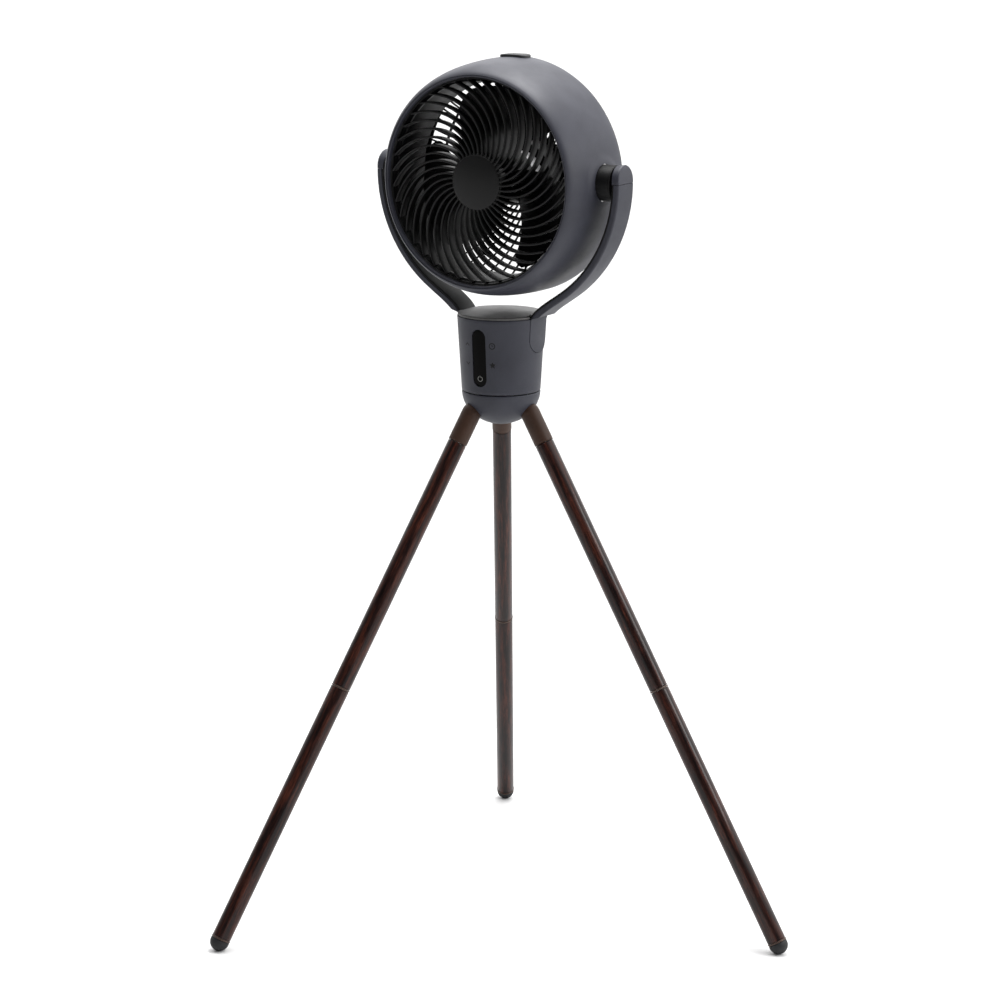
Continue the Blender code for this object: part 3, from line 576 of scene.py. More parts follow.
def make_dome():
    """The bowl under the body, with a hole for each leg's socket."""
    outer = dome_side(DOME_R, DOME_DEPTH, SEAM + 0.0008, 40)
    inner = dome_side(DOME_R - DOME_WALL, DOME_DEPTH - DOME_WALL, SEAM + 0.0001, 30)
    top = PAN_SEAM_HEIGHT - SEAM
    rim = [(DOME_R - 0.0007, top - 0.0001), (DOME_R - 0.0002, top - 0.0004)]
    work = add_turned(bmesh.new(), inner[::-1] + rim + outer, 160, matrix=UPRIGHT)
    dome = add_piece("dome_cover", work, "tripod", "slate_plastic", ["base_dome"])
    reach = along(SOCKET_TOP_HEIGHT)
    carve(dome, [rod_cutter(SOCKET_R + 0.0002, reach - 0.08, reach - 0.0100, leg) for leg in LEGS])


# ---------------------------------------------------------------- yoke


def arm_line():
    """(point, outward normal) down the right arm's middle line, about the tilt axis."""
    line = []
    arc_steps, bend_steps = 44, 34
    for i in range(arc_steps + 1):
        angle = ARM_ARC_END * i / arc_steps
        normal = Vector((math.cos(angle), -math.sin(angle)))
        line.append((normal * ARM_R, normal))
    a = line[-1][0]
    heading = Vector((-math.sin(ARM_ARC_END), -math.cos(ARM_ARC_END)))
    d = Vector((TONGUE_X, TONGUE_BEND_END))
    b, c = a + heading * 0.028, d + Vector((0, 0.020))
    for i in range(1, bend_steps + 1):
        t = i / bend_steps
        point = a * (1 - t) ** 3 + b * 3 * t * (1 - t) ** 2 + c * 3 * t**2 * (1 - t) + d * t**3
        slope = (b - a) * (1 - t) ** 2 + (c - b) * 2 * t * (1 - t) + (d - c) * t**2
        slope.normalize()
        line.append((point, Vector((-slope.y, slope.x))))
    return line


def tongue_line(grow):
    """The upright tongue below the bend, closing in to a half round."""
    centre = TONGUE_END + ARM_HALF_DEPTH
    radius = ARM_HALF_DEPTH + grow
    drops = [-0.004, 0] + [radius * math.sin(math.pi / 2 * i / 18) for i in range(1, 19)]
    return [(Vector((TONGUE_X, centre - drop)), Vector((1, 0))) for drop in drops]


def cap_line():
    """The short run of the arc above the tilt axis, closing in to a half round."""
    crown = ARM_CAP_RISE - ARM_HALF_DEPTH
    rises = [SEAM, crown * 0.5, crown]
    rises += [crown + ARM_HALF_DEPTH * math.sin(math.pi / 2 * i / 18) for i in range(1, 19)]
    line = []
    for rise in rises:
        angle = math.asin(rise / ARM_R)
        normal = Vector((math.cos(angle), math.sin(angle)))
        line.append((normal * ARM_R, normal))
    return line


def half_depth(height, grow):
    """Half the arm's width, drawn in to a half round at the tongue's foot and the cap's crown."""
    radius = ARM_HALF_DEPTH + grow
    foot = TONGUE_END + ARM_HALF_DEPTH
    crown = ARM_CAP_RISE - ARM_HALF_DEPTH
    beyond = max(foot - height, height - crown, 0)
    return math.sqrt(max(radius**2 - beyond**2, 0.0005**2))


def body_radius(height):
    """Outside of the tapered body at a height above the floor."""
    share = (height - PAN_SEAM_HEIGHT) / (BODY_TOP_HEIGHT - PAN_SEAM_HEIGHT)
    return BODY_FOOT_R + (BODY_TOP_R - BODY_FOOT_R) * share


def flush_with_body(x, y, z):
    """Draws the foot of an arm in to the body's round side, so that the two run into each other."""
    height = PIVOT.z + y
    wall = body_radius(min(height, BODY_TOP_HEIGHT))
    back = PIVOT.y - PAN.y - z
    proud = 0.0003 + 0.0020 * eased_step((back + 0.0120) / 0.0300)
    above = max(height - BODY_TOP_HEIGHT, 0)
    return min(x, math.sqrt(wall**2 - back**2) + proud + 3 * above + 100 * above**2)


def arm_section(inner, outer, half, inner_ease, outer_ease):
    """Across the arm at one station: a flat bar with its inner and outer edges eased."""
    corners = [(inner, half), (outer, half), (outer, -half), (inner, -half)]
    limit = half * 0.9
    inner_ease, outer_ease = min(inner_ease, limit), min(outer_ease, limit)
    return rounded(corners, [inner_ease, outer_ease, outer_ease, inner_ease], 6, closed=True)


def arm_mesh(side, line, inner, outer, grow=0.0, inner_ease=0.0004, outer_ease=0.0004, flush=False):
    """A run of the arm between two offsets from its middle line."""
    sign = SIDES[side]
    work = bmesh.new()
    stations = []
    for point, normal in line:
        half = half_depth(point.y, grow)
        height = PIVOT.z + point.y
        ease = outer_ease
        if flush:
            ease = 0.0004 + (outer_ease - 0.0004) * eased_step((height - BODY_TOP_HEIGHT) / 0.030)
        station = []
        for offset, z in arm_section(inner, outer, half, inner_ease, ease):
            x, y = point.x + normal.x * offset, point.y + normal.y * offset
            if flush and offset > 0:
                x = flush_with_body(x, y, z)
            station.append((sign * x, y, z))
        stations.append(station)
    return add_loft(work, stations, TILT)


def make_arm(side):
    """One arm of the yoke: its cover, the dark lining inside it and the cap over the pivot."""
    split = ARM_LINER - ARM_HALF_THICKNESS
    line = arm_line() + tongue_line(0)
    shell = arm_mesh(side, line, split + GAP, ARM_HALF_THICKNESS, 0, 0.0005, ARM_EASE, True)
    add_piece(f"{side}_arm_cover", shell, "swivel", "slate_plastic", [f"{side}_arm_shell"])
    liner = arm_mesh(side, line, -ARM_HALF_THICKNESS, split, -0.0004, 0.0016, 0.0005)
    add_piece(f"{side}_arm_lining", liner, "swivel", "black_plastic", [f"{side}_arm_liner"])
    cap = arm_mesh(side, cap_line(), -ARM_HALF_THICKNESS, ARM_HALF_THICKNESS, 0, 0.0012, ARM_EASE)
    add_piece(f"{side}_pivot_cap", cap, "swivel", "slate_plastic", [f"{side}_arm_cap"])


def arm_notch(side):
    """The room that an arm's foot takes in the body and its cover, a fine seam wider than the foot."""
    line = arm_line()[-12:] + tongue_line(SEAM)
    return to_mesh(arm_mesh(side, line, -0.0083, 0.0120, SEAM), "arm_notch")


# ---------------------------------------------------------------- body


def capsule(width, length, steps=16):
    """Outline of an upright capsule about the origin."""
    radius = width / 2
    reach = length / 2 - radius
    upper = []
    for i in range(steps + 1):
        angle = math.pi * i / steps
        upper.append((radius * math.cos(angle), reach + radius * math.sin(angle)))
    return upper + [(-x, -y) for x, y in upper]


def make_body():
    """The tapered casing, cut for the touch panel, the socket and the arms, and the pieces set in it."""
    rows = 26
    low = PAN_SEAM_HEIGHT + SEAM
    outer = []
    for i in range(rows + 1):
        height = BODY_TOP_HEIGHT - 0.0009 + (low + 0.0007 - BODY_TOP_HEIGHT + 0.0009) * i / rows
        outer.append((body_radius(height), height))
    top = [(BODY_TOP_R - BODY_WALL, BODY_TOP_HEIGHT), (BODY_TOP_R - 0.0009, BODY_TOP_HEIGHT)]
    top.append((BODY_TOP_R - 0.0002, BODY_TOP_HEIGHT - 0.0003))
    foot = [(BODY_FOOT_R - 0.0002, low + 0.0002), (BODY_FOOT_R - 0.0007, low)]
    foot.append((BODY_FOOT_R - BODY_WALL, low))
    work = add_turned(bmesh.new(), top + outer + foot, 192, closed=True, matrix=UPRIGHT)
    shell = add_piece("body_casing", work, "swivel", "slate_plastic", ["body_shell"])

    opening = capsule(DISPLAY_WIDTH + 2 * GAP, DISPLAY_LENGTH + 2 * GAP)
    slot = []
    for y in (-0.060, -0.030):
        slot.append([(x, y, DISPLAY_HEIGHT + z) for x, z in opening])
    slot_mesh = to_mesh(add_loft(bmesh.new(), slot, UPRIGHT), "display_slot")
    backwards = Matrix.Translation((PAN.x, PAN.y, INLET_HEIGHT)) @ Matrix.Rotation(-math.pi / 2, 4, "X")
    inlet_hole = rod_cutter(INLET_R + GAP, 0.030, 0.060, backwards)
    carve(shell, [slot_mesh, inlet_hole] + [arm_notch(side) for side in SIDES])
    make_cover()
    make_display()
    make_marks()
    make_inlet(backwards)


def make_cover():
    """The low crowned lid, set in from the body's rim by a shadow line."""
    edge = BODY_TOP_R - 0.0006
    profile = [(0, COVER_TOP)]
    crown = COVER_TOP - COVER_LOW - COVER_EDGE
    for i in range(1, 17):
        share = i / 16
        profile.append(((edge - 0.0014) * share, COVER_TOP - crown * share**2.2))
    shoulder = COVER_LOW + COVER_EDGE
    profile += [
        (edge - 0.0006, shoulder - 0.0003),
        (edge - 0.0001, shoulder - 0.0008),
        (edge, shoulder - 0.0014),
        (edge, COVER_LOW + 0.0009),
        (edge - 0.0008, COVER_LOW + 0.0007),
        (edge - 0.0008, COVER_LOW),
        (0, COVER_LOW),
    ]
    work = add_turned(bmesh.new(), profile, 192, matrix=UPRIGHT)
    cover = add_piece("body_lid", work, "swivel", "charcoal_plastic", ["top_cover"])
    carve(cover, [arm_notch(side) for side in SIDES])


def display_frame():
    """Local +Z out of the touch panel, which leans with the body's wall."""
    lean = math.atan((BODY_TOP_R - BODY_FOOT_R) / (BODY_TOP_HEIGHT - PAN_SEAM_HEIGHT))
    front = body_radius(DISPLAY_HEIGHT) - DISPLAY_RECESS
    middle = Matrix.Translation((PAN.x, PAN.y - front, DISPLAY_HEIGHT))
    return middle @ Matrix.Rotation(math.pi / 2 + lean, 4, "X")


def make_display():
    """The touch panel, and the lit standby mark near its foot: a ring with a short bar at its top."""
    stations = []
    for depth, inset in ((-0.0022, 0), (-0.0004, 0), (-0.0001, 0.0001), (0, 0.0004)):
        outline = capsule(DISPLAY_WIDTH - 2 * inset, DISPLAY_LENGTH - 2 * inset)
        stations.append([(x, y, depth) for x, y in outline])
    work = add_loft(bmesh.new(), stations, display_frame())
    add_piece("touch_window", work, "swivel", "display_panel", ["display_window"])
    middle, width = Vector((0, -0.0235)), 0.0007
    ring = arc_stroke(middle, 0.0029, 120, 420, width)
    bar = bar_stroke(middle + Vector((0, 0.0012)), 0.0024, width)
    work = bmesh.new()
    for stroke in (ring, bar):
        add_stroke(work, stroke, lambda x, y, rise: Vector((x, y, rise)), display_frame())
    add_piece("standby_mark", work, "swivel", "lit_mark", sharp=60)


# A stroke is a list of (left edge point, right edge point) pairs along a mark's line


def arc_stroke(middle, radius, start, end, width, steps=40):
    pairs = []
    for i in range(steps + 1):
        angle = math.radians(start + (end - start) * i / steps)
        out = Vector((math.cos(angle), math.sin(angle)))
        pairs.append((middle + out * (radius - width / 2), middle + out * (radius + width / 2)))
    return pairs


def line_stroke(start, end, width):
    start, end = Vector(start), Vector(end)
    side = (end - start).orthogonal().normalized() * width / 2
    return [(start - side, start + side), (end - side, end + side)]


def bar_stroke(foot, length, width):
    return line_stroke(foot, foot + Vector((0, length)), width)


def add_stroke(work, pairs, onto, matrix):
    """Adds a mark's line as a thin closed skin that stands just proud of the surface."""
    rise, sink = 0.00006, -0.00025
    stations = []
    for left, right in pairs:
        corners = [(left, sink), (right, sink), (right, rise), (left, rise)]
        stations.append([onto(point.x, point.y, depth) for point, depth in corners])
    add_loft(work, stations, matrix)


def onto_body(x, z, rise):
    """A point x round the body's front and z above the floor, this far out of its surface."""
    radius = body_radius(z)
    angle = x / radius
    return Vector(((radius + rise) * math.sin(angle), -(radius + rise) * math.cos(angle), z))


def star_strokes(middle, reach):
    """A five-pointed star, as one kite for each point."""
    kites = []
    for point in range(5):
        angle = math.radians(90 + 72 * point)
        tip = middle + Vector((math.cos(angle), math.sin(angle))) * reach
        sides = []
        for turn in (-36, 36):
            side = angle + math.radians(turn)
            sides.append(middle + Vector((math.cos(side), math.sin(side))) * reach * 0.45)
        blunt = (tip - middle).orthogonal().normalized() * 0.0001
        kites.append([(middle - blunt, middle + blunt), tuple(sides), (tip + blunt, tip - blunt)])
    return kites


def make_marks():
    """Four printed symbols beside the touch panel: up, down, timer and favourite."""
    work = bmesh.new()
    across, width, half = 0.0165, 0.0012, 0.0030
    upper, lower = DISPLAY_HEIGHT + 0.0150, DISPLAY_HEIGHT - 0.0070
    strokes = []
    for height, direction in ((upper, 1), (lower, -1)):
        peak = Vector((-across, height + direction * half * 0.5))
        for side in (-1, 1):
            foot = peak + Vector((side * half, -direction * half))
            strokes.append(line_stroke(peak - Vector((side * width * 0.3, 0)), foot, width))
    clock = Vector((across, upper))
    strokes.append(arc_stroke(clock, 0.0032, 0, 360, 0.0010))
    strokes.append(bar_stroke(clock, 0.0019, 0.0009))
    strokes.append(line_stroke(clock, clock + Vector((0.0014, 0)), 0.0009))
    strokes += star_strokes(Vector((across, lower)), 0.0042)
    for stroke in strokes:
        add_stroke(work, stroke, onto_body, UPRIGHT)
    add_piece("printed_symbols", work, "swivel", "printed_mark", sharp=60)


def make_inlet(backwards):
    """The round power socket in the body's back, with its middle pin."""
    mouth = body_radius(INLET_HEIGHT) + 0.0006
    bore, floor, back = 0.0034, mouth - 0.0100, mouth - 0.0140
    profile = [(0, floor), (bore, floor), (bore, mouth - 0.0007), (bore + 0.0007, mouth)]
    profile += rounded([(bore + 0.0010, mouth), (INLET_R, mouth), (INLET_R, mouth - 0.0060)], 0.0006)
    profile += [(INLET_R, back), (0, back)]
    work = add_turned(bmesh.new(), profile, 64, matrix=backwards)
    add_piece("power_socket_bush", work, "swivel", "black_plastic", ["power_inlet"])
    pin_r, tip, root = 0.0008, mouth - 0.0020, mouth - 0.0102
    pin = rounded([(0, tip), (pin_r, tip), (pin_r, root), (0, root)], 0.0005)
    work = add_turned(bmesh.new(), pin, 24, matrix=backwards)
    add_piece("power_socket_pin", work, "swivel", "steel")


# ---------------------------------------------------------------- drum


def nose(tip_r, full_r, front, steps):
    """(radius, forward) points round the drum's elliptical nose, from its tip to its barrel."""
    reach = front - NOSE_END
    points = []
    for i in range(steps + 1):
        angle = math.pi / 2 * i / steps
        points.append((tip_r + (full_r - tip_r) * math.sin(angle), NOSE_END + reach * math.cos(angle)))
    return points


def make_drum():
    """The round casing: a fine groove round its lip, and a slight swelling round each pivot."""
    groove_r = LIP_OUT_R + 0.0006
    back_r = DRUM_R - DRUM_WALL
    lip = [
        (LIP_IN_R, 0.0465),
        (LIP_IN_R, LIP_FRONT - 0.0014),
        (LIP_IN_R + 0.0003, LIP_FRONT - 0.0009),
        (LIP_IN_R + 0.0008, LIP_FRONT - 0.0006),
        (groove_r - 0.0005, LIP_FRONT - 0.0005),
        (groove_r - 0.0003, LIP_FRONT - 0.0012),
        (groove_r, LIP_FRONT - 0.0012),
        (groove_r + 0.0002, LIP_FRONT - 0.0003),
        (groove_r + 0.0006, LIP_FRONT),
    ]
    clear_r = groove_r + 0.0012
    outer = [point for point in nose(LIP_OUT_R, DRUM_R, LIP_FRONT, 48) if point[0] > clear_r]
    rim = []
    for i in range(1, 9):
        angle = math.pi / 2 * i / 8
        rim.append((DRUM_R - 0.0018 * (1 - math.cos(angle)), BARREL_END - 0.0050 * math.sin(angle)))
    inner = nose(LIP_IN_R, back_r, LIP_FRONT - 0.0060, 30)
    rim += [(back_r + 0.0003, DRUM_BACK), (back_r, DRUM_BACK + 0.0003)]
    profile = lip + outer + rim + inner[::-1]
    work = add_turned(bmesh.new(), profile, 288, closed=True)
    for vert in work.verts:
        away = math.hypot(vert.co.y - (PIVOT.z - HUB.z), vert.co.z - (HUB.y - PIVOT.y))
        if abs(vert.co.x) > LIP_OUT_R:
            rise = COLLAR_RISE * eased_step((COLLAR_R - away) / COLLAR_FADE)
            vert.co.x += math.copysign(rise, vert.co.x)
    bmesh.ops.transform(work, matrix=HEAD, verts=work.verts)
    drum = add_piece("drum_casing", work, "head", "slate_plastic", ["drum_shell"])
    holes = []
    for sign in SIDES.values():
        sideways = TILT @ Matrix.Rotation(sign * math.pi / 2, 4, "Y")
        holes.append(rod_cutter(BOSS_R + 0.0006, 0.110, 0.150, sideways, 96))
    carve(drum, holes)


def make_bosses():
    """The short dark drums that the head turns on, each with a fine groove by its outer face."""
    flange_in = BOSS_IN - 0.0007
    groove_r, groove_out, groove_in = BOSS_R - 0.0004, BOSS_OUT - 0.0008, BOSS_OUT - 0.0012
    for side, sign in SIDES.items():
        sideways = TILT @ Matrix.Rotation(sign * math.pi / 2, 4, "Y")
        rim = rounded([(0, BOSS_OUT), (BOSS_R, BOSS_OUT), (BOSS_R, groove_out)], 0.0005)
        profile = [(0, BOSS_OUT)] + rim[1:]
        profile += [(groove_r, groove_out), (groove_r, groove_in), (BOSS_R, groove_in)]
        profile += [(BOSS_R, BOSS_IN), (BOSS_FLANGE_R, BOSS_IN), (BOSS_FLANGE_R, flange_in), (0, flange_in)]
        work = add_turned(bmesh.new(), profile, 96, matrix=sideways)
        add_piece(f"{side}_pivot_drum", work, "head", "black_plastic", [f"{side}_pivot_boss"])


def make_duct():
    """The throat round the blades, flaring forward to the grille's seat."""
    mouth_r, flare_end, wall, steps = 0.1130, 0.0100, 0.0020, 14
    inside = [(mouth_r, DUCT_FRONT)]
    for i in range(1, steps + 1):
        share = i / steps
        forward = DUCT_FRONT + (flare_end - DUCT_FRONT) * share
        inside.append((DUCT_R + (mouth_r - DUCT_R) * (1 - share) ** 2.2, forward))
    inside.append((DUCT_R, DUCT_BACK))
    outside = [(radius + wall, forward) for radius, forward in inside]
    profile = outside + inside[::-1]
    work = add_turned(bmesh.new(), profile, 192, closed=True, matrix=HEAD)
    add_piece("throat_duct", work, "head", "black_plastic", ["inner_duct"])


def make_top_pad():
    """A soft-edged block on the drum's crest, curved with it."""
    half_x, half_z = PAD_SIZE[0] / 2, PAD_SIZE[1] / 2
    corner = 0.0080
    outline = []
    for sx, sz, start in ((1, 1, 0), (-1, 1, 90), (-1, -1, 180), (1, -1, 270)):
        for i in range(9):
            angle = math.radians(start + 90 * i / 8)
            x = sx * (half_x - corner) + corner * math.cos(angle)
            z = sz * (half_z - corner) + corner * math.sin(angle)
            outline.append((x, z))
    stations = []
    for scale, rise in (
        (1.0, -0.0012),
        (1.0, PAD_RISE - 0.0010),
        (0.985, PAD_RISE - 0.0004),
        (0.955, PAD_RISE - 0.0001),
        (0.90, PAD_RISE),
        (0.50, PAD_RISE),
        (0.10, PAD_RISE),
    ):
        station = []
        for x, z in outline:
            height = math.sqrt((DRUM_R + rise) ** 2 - (x * scale) ** 2)
            station.append((x * scale, height, PAD_MIDDLE + z * scale))
        stations.append(station)
    add_piece("crest_pad", add_loft(bmesh.new(), stations, HEAD), "head", "foot_rubber", ["top_pad"])


# ---------------------------------------------------------------- grilles


def spiral(share):
    """How far round a front rib has turned at this share of its length: slow at the hub, then faster."""
    return FRONT_SWEEP * share**1.35


def add_rib(work, line, width, front_ease):
    """A deep narrow rib along (x, y, front, back) points, its front edge rounded."""
    stations = []
    count = len(line)
    for i, (x, y, front, back) in enumerate(line):
        before, after = line[max(i - 1, 0)], line[min(i + 1, count - 1)]
        side = Vector((after[0] - before[0], after[1] - before[1])).orthogonal().normalized()
        half = width / 2
        section = [(-half * 0.8, back), (-half, (front + back) / 2), (-half, front - front_ease)]
        for step in range(1, 6):
            angle = math.pi * (1 - step / 6)
            section.append((half * math.cos(angle), front - front_ease * (1 - math.sin(angle))))
        section += [(half, front - front_ease), (half, (front + back) / 2), (half * 0.8, back)]
        stations.append([(x + side.x * across, y + side.y * across, z) for across, z in section])
    add_loft(work, stations)


def make_front_grille():
    """The spiral ribs, joined by a ring under the hub cap and a seat ring inside the drum's lip."""
    inner_r, outer_r = HUB_CAP_R - 0.0015, 0.1118
    start_r, turned_r = HUB_CAP_R + 0.0010, 0.1115  # where the sweep begins and is complete
    work = bmesh.new()
    steps = 26
    for rib in range(FRONT_RIBS):
        line = []
        for i in range(steps + 1):
            radius = inner_r + (outer_r - inner_r) * i / steps
            share = max(radius - start_r, 0) / (turned_r - start_r)
            angle = 2 * math.pi * (rib + 0.5) / FRONT_RIBS + spiral(share)
            front = GRILLE_FRONT - 0.0012 * share**2
            line.append((radius * math.cos(angle), radius * math.sin(angle), front, GRILLE_BACK))
        add_rib(work, line, RIB_WIDTH, 0.0010)
    back = GRILLE_BACK - 0.0010
    hub = [(0.0270, 0.0480), (0.0322, 0.0480), (0.0322, back), (0.0270, back)]
    add_turned(work, rounded(hub, 0.0008, closed=True), 96, closed=True)
    seat = LIP_IN_R - GAP
    rim = [(seat, 0.0478), (seat, back), (0.1106, back), (0.1106, 0.0412)]
    add_turned(work, rounded(rim, 0.0005, closed=True), 192, closed=True)
    bmesh.ops.transform(work, matrix=HEAD, verts=work.verts)
    add_piece("spiral_grille", work, "head", "grille_plastic", ["front_grille"])


def make_hub_cap():
    """The plain domed cap in the middle of the front grille."""
    back = 0.0485
    profile = [(0, LIP_FRONT)]
    for i in range(1, 19):
        share = i / 18
        profile.append(((HUB_CAP_R - 0.0010) * share, LIP_FRONT - 0.0031 * share**2.0))
    profile += [(HUB_CAP_R - 0.0003, LIP_FRONT - 0.0035), (HUB_CAP_R, LIP_FRONT - 0.0040)]
    profile += [(HUB_CAP_R, back), (0, back)]
    work = add_turned(bmesh.new(), profile, 128, matrix=HEAD)
    add_piece("hub_cap", work, "head", "grille_plastic", ["grille_cap"])


def rear_face(radius):
    """Forward place of the rear grille's front face: flat in the middle, bulging back from its rim."""
    share = min(max((radius - REAR_MIDDLE_R) / (REAR_SLOT_R - REAR_MIDDLE_R), 0), 1)
    bulge = REAR_FRONT - (REAR_CREST + REAR_THICKNESS)
    return REAR_FRONT - bulge * math.cos(math.pi / 2 * share**1.5)


def make_rear_grille():
    """Slanted ribs over the dome, tied by two rings between a flat middle and the rim."""
    work = bmesh.new()
    steps, slant = 14, math.radians(9)
    inner_r, outer_r = REAR_MIDDLE_R - 0.0010, REAR_SLOT_R + 0.0012
    for rib in range(REAR_RIBS):
        line = []
        for i in range(steps + 1):
            radius = inner_r + (outer_r - inner_r) * i / steps
            angle = 2 * math.pi * rib / REAR_RIBS - slant * i / steps
            face = rear_face(radius)
            line.append((radius * math.cos(angle), radius * math.sin(angle), face, face - REAR_THICKNESS))
        add_rib(work, line, 0.0018, 0.0004)
    for radius, width in ((0.0760, 0.0018), (0.1110, 0.0024)):
        face = rear_face(radius) + 0.0002
        back = face - REAR_THICKNESS
        in_r, out_r = radius - width / 2, radius + width / 2
        ring = [(in_r, face), (out_r, face), (out_r, back), (in_r, back)]
        add_turned(work, rounded(ring, 0.0005, closed=True), 160, closed=True)
    back = REAR_FRONT - REAR_THICKNESS
    rim = [(REAR_SLOT_R, REAR_FRONT), (REAR_RIM_R, REAR_FRONT), (REAR_RIM_R, back), (REAR_SLOT_R, back)]
    add_turned(work, rounded(rim, 0.0011, closed=True), 192, closed=True)
    face, crest = REAR_CREST + REAR_THICKNESS, REAR_CREST
    middle = [
        (0, face),
        (REAR_MIDDLE_R, face),
        (REAR_MIDDLE_R, crest),
        (REAR_MIDDLE_R - 0.0060, crest),
        (REAR_MIDDLE_R - 0.0068, crest + 0.0008),
        (REAR_MIDDLE_R - 0.0080, crest + 0.0008),
        (REAR_MIDDLE_R - 0.0088, crest),
        (0.0100, crest + 0.0003),
        (0, crest + 0.0003),
    ]
    add_turned(work, rounded(middle, 0.0006), 128)
    bmesh.ops.transform(work, matrix=HEAD, verts=work.verts)
    add_piece("domed_rear_grille", work, "head", "grille_plastic", ["rear_grille"])


def make_motor_mount():
    """A round cup between the motor and the rear grille, flat in front and open behind."""
    wall, radius = 0.0030, 0.0360
    profile = [(0, MOUNT_FRONT), (radius, MOUNT_FRONT), (radius, MOUNT_BACK), (radius - wall, MOUNT_BACK)]
    profile += [(radius - wall, MOUNT_FRONT - wall), (0, MOUNT_FRONT - wall)]
    work = add_turned(bmesh.new(), rounded(profile, 0.0010), 96, matrix=HEAD)
    add_piece("motor_cup", work, "head", "black_plastic", ["motor_mount"])


# ---------------------------------------------------------------- impeller


def add_blade(work, middle_angle):
    """One wide swept blade, thick along its middle and thin at both edges."""
    rows, chords = 22, 26
    root_r = IMPELLER_HUB_R - 0.0015
    stations = []
    for i in range(rows + 1):
        share = i / rows
        radius = root_r + (BLADE_TIP_R - root_r) * share
        middle = middle_angle - BLADE_SWEEP * (share - 0.5)
        pitch = 0.0150 - 0.0030 * share
        # the tip's two corners are rounded, so the last rows are shorter
        span = BLADE_SPAN * (1 - 0.22 * max(share - 0.80, 0) ** 2 / 0.04)
        front, back = [], []
        for j in range(chords + 1):
            across = j / chords - 0.5
            angle = middle + span * across
            lift = 2 * pitch * across + 0.0040 * (0.25 - across**2)
            half = 0.00115 - 0.00095 * abs(2 * across) ** 2
            x, y = radius * math.cos(angle), radius * math.sin(angle)
            front.append((x, y, lift + half))
            back.append((x, y, lift - half))
        stations.append(front + back[::-1])
    add_loft(work, stations)


def make_impeller():
    """Three blades on a hollow round hub."""
    work = bmesh.new()
    for blade in range(BLADES):
        add_blade(work, FIRST_BLADE + 2 * math.pi * blade / BLADES)
    wall, bore = 0.0025, 0.0033
    hub = [
        (bore, HUB_FRONT),
        (IMPELLER_HUB_R, HUB_FRONT),
        (IMPELLER_HUB_R, HUB_BACK),
        (IMPELLER_HUB_R - wall, HUB_BACK),
        (IMPELLER_HUB_R - wall, HUB_FRONT - 0.0050),
        (bore, HUB_FRONT - 0.0050),
    ]
    eases = [0, 0.0060, 0.0008, 0.0008, 0.0010, 0]
    add_turned(work, rounded(hub, eases, 8, closed=True), 128, closed=True)
    bmesh.ops.transform(work, matrix=HEAD, verts=work.verts)
    add_piece("three_blade_impeller", work, "rotor", "black_plastic", ["impeller"])


# ---------------------------------------------------------------- hidden pieces, light and camera


def dress_hidden_nodes():
    """Pieces inside that still count as shown keep their CAD shape, in their own materials."""
    slots = {part["node"]: part["material_slot"] for part in frame["record"]["subparts"]}
    for name, node in frame["nodes"].items():
        if node.hide_render:
            continue
        node.data.materials.clear()
        node.data.materials.append(SURFACES[slots[name]])


def make_floor():
    """A plain pale floor that runs out to the horizon."""
    reach = 400
    mesh = bpy.data.meshes.new("floor")
    work = bmesh.new()
    bmesh.ops.create_grid(work, x_segments=1, y_segments=1, size=reach)
    work.to_mesh(mesh)
    work.free()
    material, tree, shader, place = start_surface("pale_floor")
    tone = ramp(tree, noise(tree, place, 0.6), [(0.3, (0.84, 0.84, 0.84)), (0.7, (0.88, 0.88, 0.88))])
    tree.links.new(tone, shader.inputs["Base Color"])
    tree.links.new(spread(tree, noise(tree, place, 0.02), 0.75, 0.85), shader.inputs["Roughness"])
    mesh.materials.append(material)
    floor = bpy.data.objects.new("floor", mesh)
    bpy.context.scene.collection.objects.link(floor)


def soft_box(name, middle, target, size, watts):
    """A square studio light that shines from its middle towards a target."""
    lamp = bpy.data.lights.new(name, "AREA")
    lamp.shape = "SQUARE"
    lamp.size = size
    lamp.energy = watts
    box = bpy.data.objects.new(name, lamp)
    box.location = middle
    box.rotation_euler = (Vector(target) - Vector(middle)).to_track_quat("-Z", "Y").to_euler()
    box.visible_camera = False
    bpy.context.scene.collection.objects.link(box)


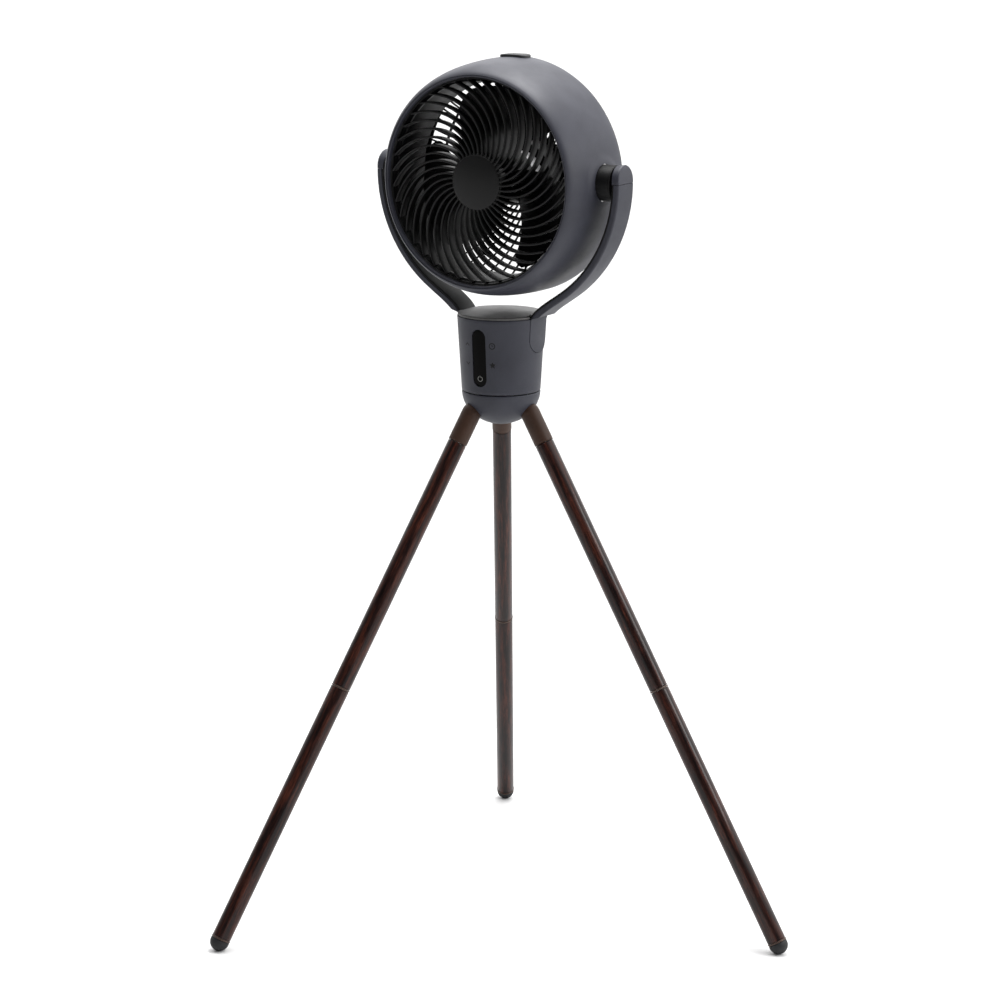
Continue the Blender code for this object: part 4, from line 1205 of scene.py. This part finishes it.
def light_room():
    """A room that is bright overhead and behind the fan, and dim where the camera stands."""
    world = bpy.data.worlds.new("studio_room")
    bpy.context.scene.world = world
    world.use_nodes = True
    tree = world.node_tree
    aim = tree.nodes.new("ShaderNodeTexCoord")
    bright_side = tree.nodes.new("ShaderNodeVectorMath")  # 1 towards the bright side, -1 away from it
    bright_side.operation = "DOT_PRODUCT"
    bright_side.inputs[1].default_value = (-0.10, 0.80, 0.59)
    fade = tree.nodes.new("ShaderNodeMapRange")
    fade.interpolation_type = "SMOOTHSTEP"
    fade.inputs["From Min"].default_value = -0.35
    fade.inputs["From Max"].default_value = 0.85
    fade.inputs["To Min"].default_value = 0.06
    fade.inputs["To Max"].default_value = 2.10
    tree.links.new(aim.outputs["Generated"], bright_side.inputs[0])
    tree.links.new(bright_side.outputs["Value"], fade.inputs["Value"])
    tree.links.new(fade.outputs["Result"], tree.nodes["Background"].inputs["Strength"])
    tree.nodes["Background"].inputs["Color"].default_value = (1, 1, 1, 1)


def light_studio():
    light_room()
    head = tuple(PIVOT)
    soft_box("overhead", (PAN.x + 0.05, PAN.y + 0.12, 1.60), head, 0.6, 11)
    soft_box("right_side", (PAN.x + 2.2, PAN.y + 0.4, 1.5), head, 0.9, 22)


def place_camera():
    """The camera stands in front and to the right, a little above the head, and looks slightly down."""
    side, aim, dip = math.radians(32), math.radians(32.023), math.radians(12.753)
    distance, height = 3.3047, 1.2262
    camera = bpy.data.cameras.new("camera")
    camera.sensor_width = 36
    camera.lens = 106.56
    stand = bpy.data.objects.new("camera", camera)
    stand.location = (PAN.x + distance * math.sin(side), PAN.y - distance * math.cos(side), height)
    stand.rotation_euler = (math.radians(90) - dip, 0, aim)
    bpy.context.scene.collection.objects.link(stand)
    bpy.context.scene.camera = stand


place_camera()
for leg_index in range(len(LEGS)):
    make_leg(leg_index)
make_dome()
for arm_side in SIDES:
    make_arm(arm_side)
make_body()
make_drum()
make_bosses()
make_duct()
make_top_pad()
make_front_grille()
make_hub_cap()
make_rear_grille()
make_motor_mount()
make_impeller()
dress_hidden_nodes()
make_floor()
light_studio()
bpy.context.scene.view_settings.view_transform = "Standard"
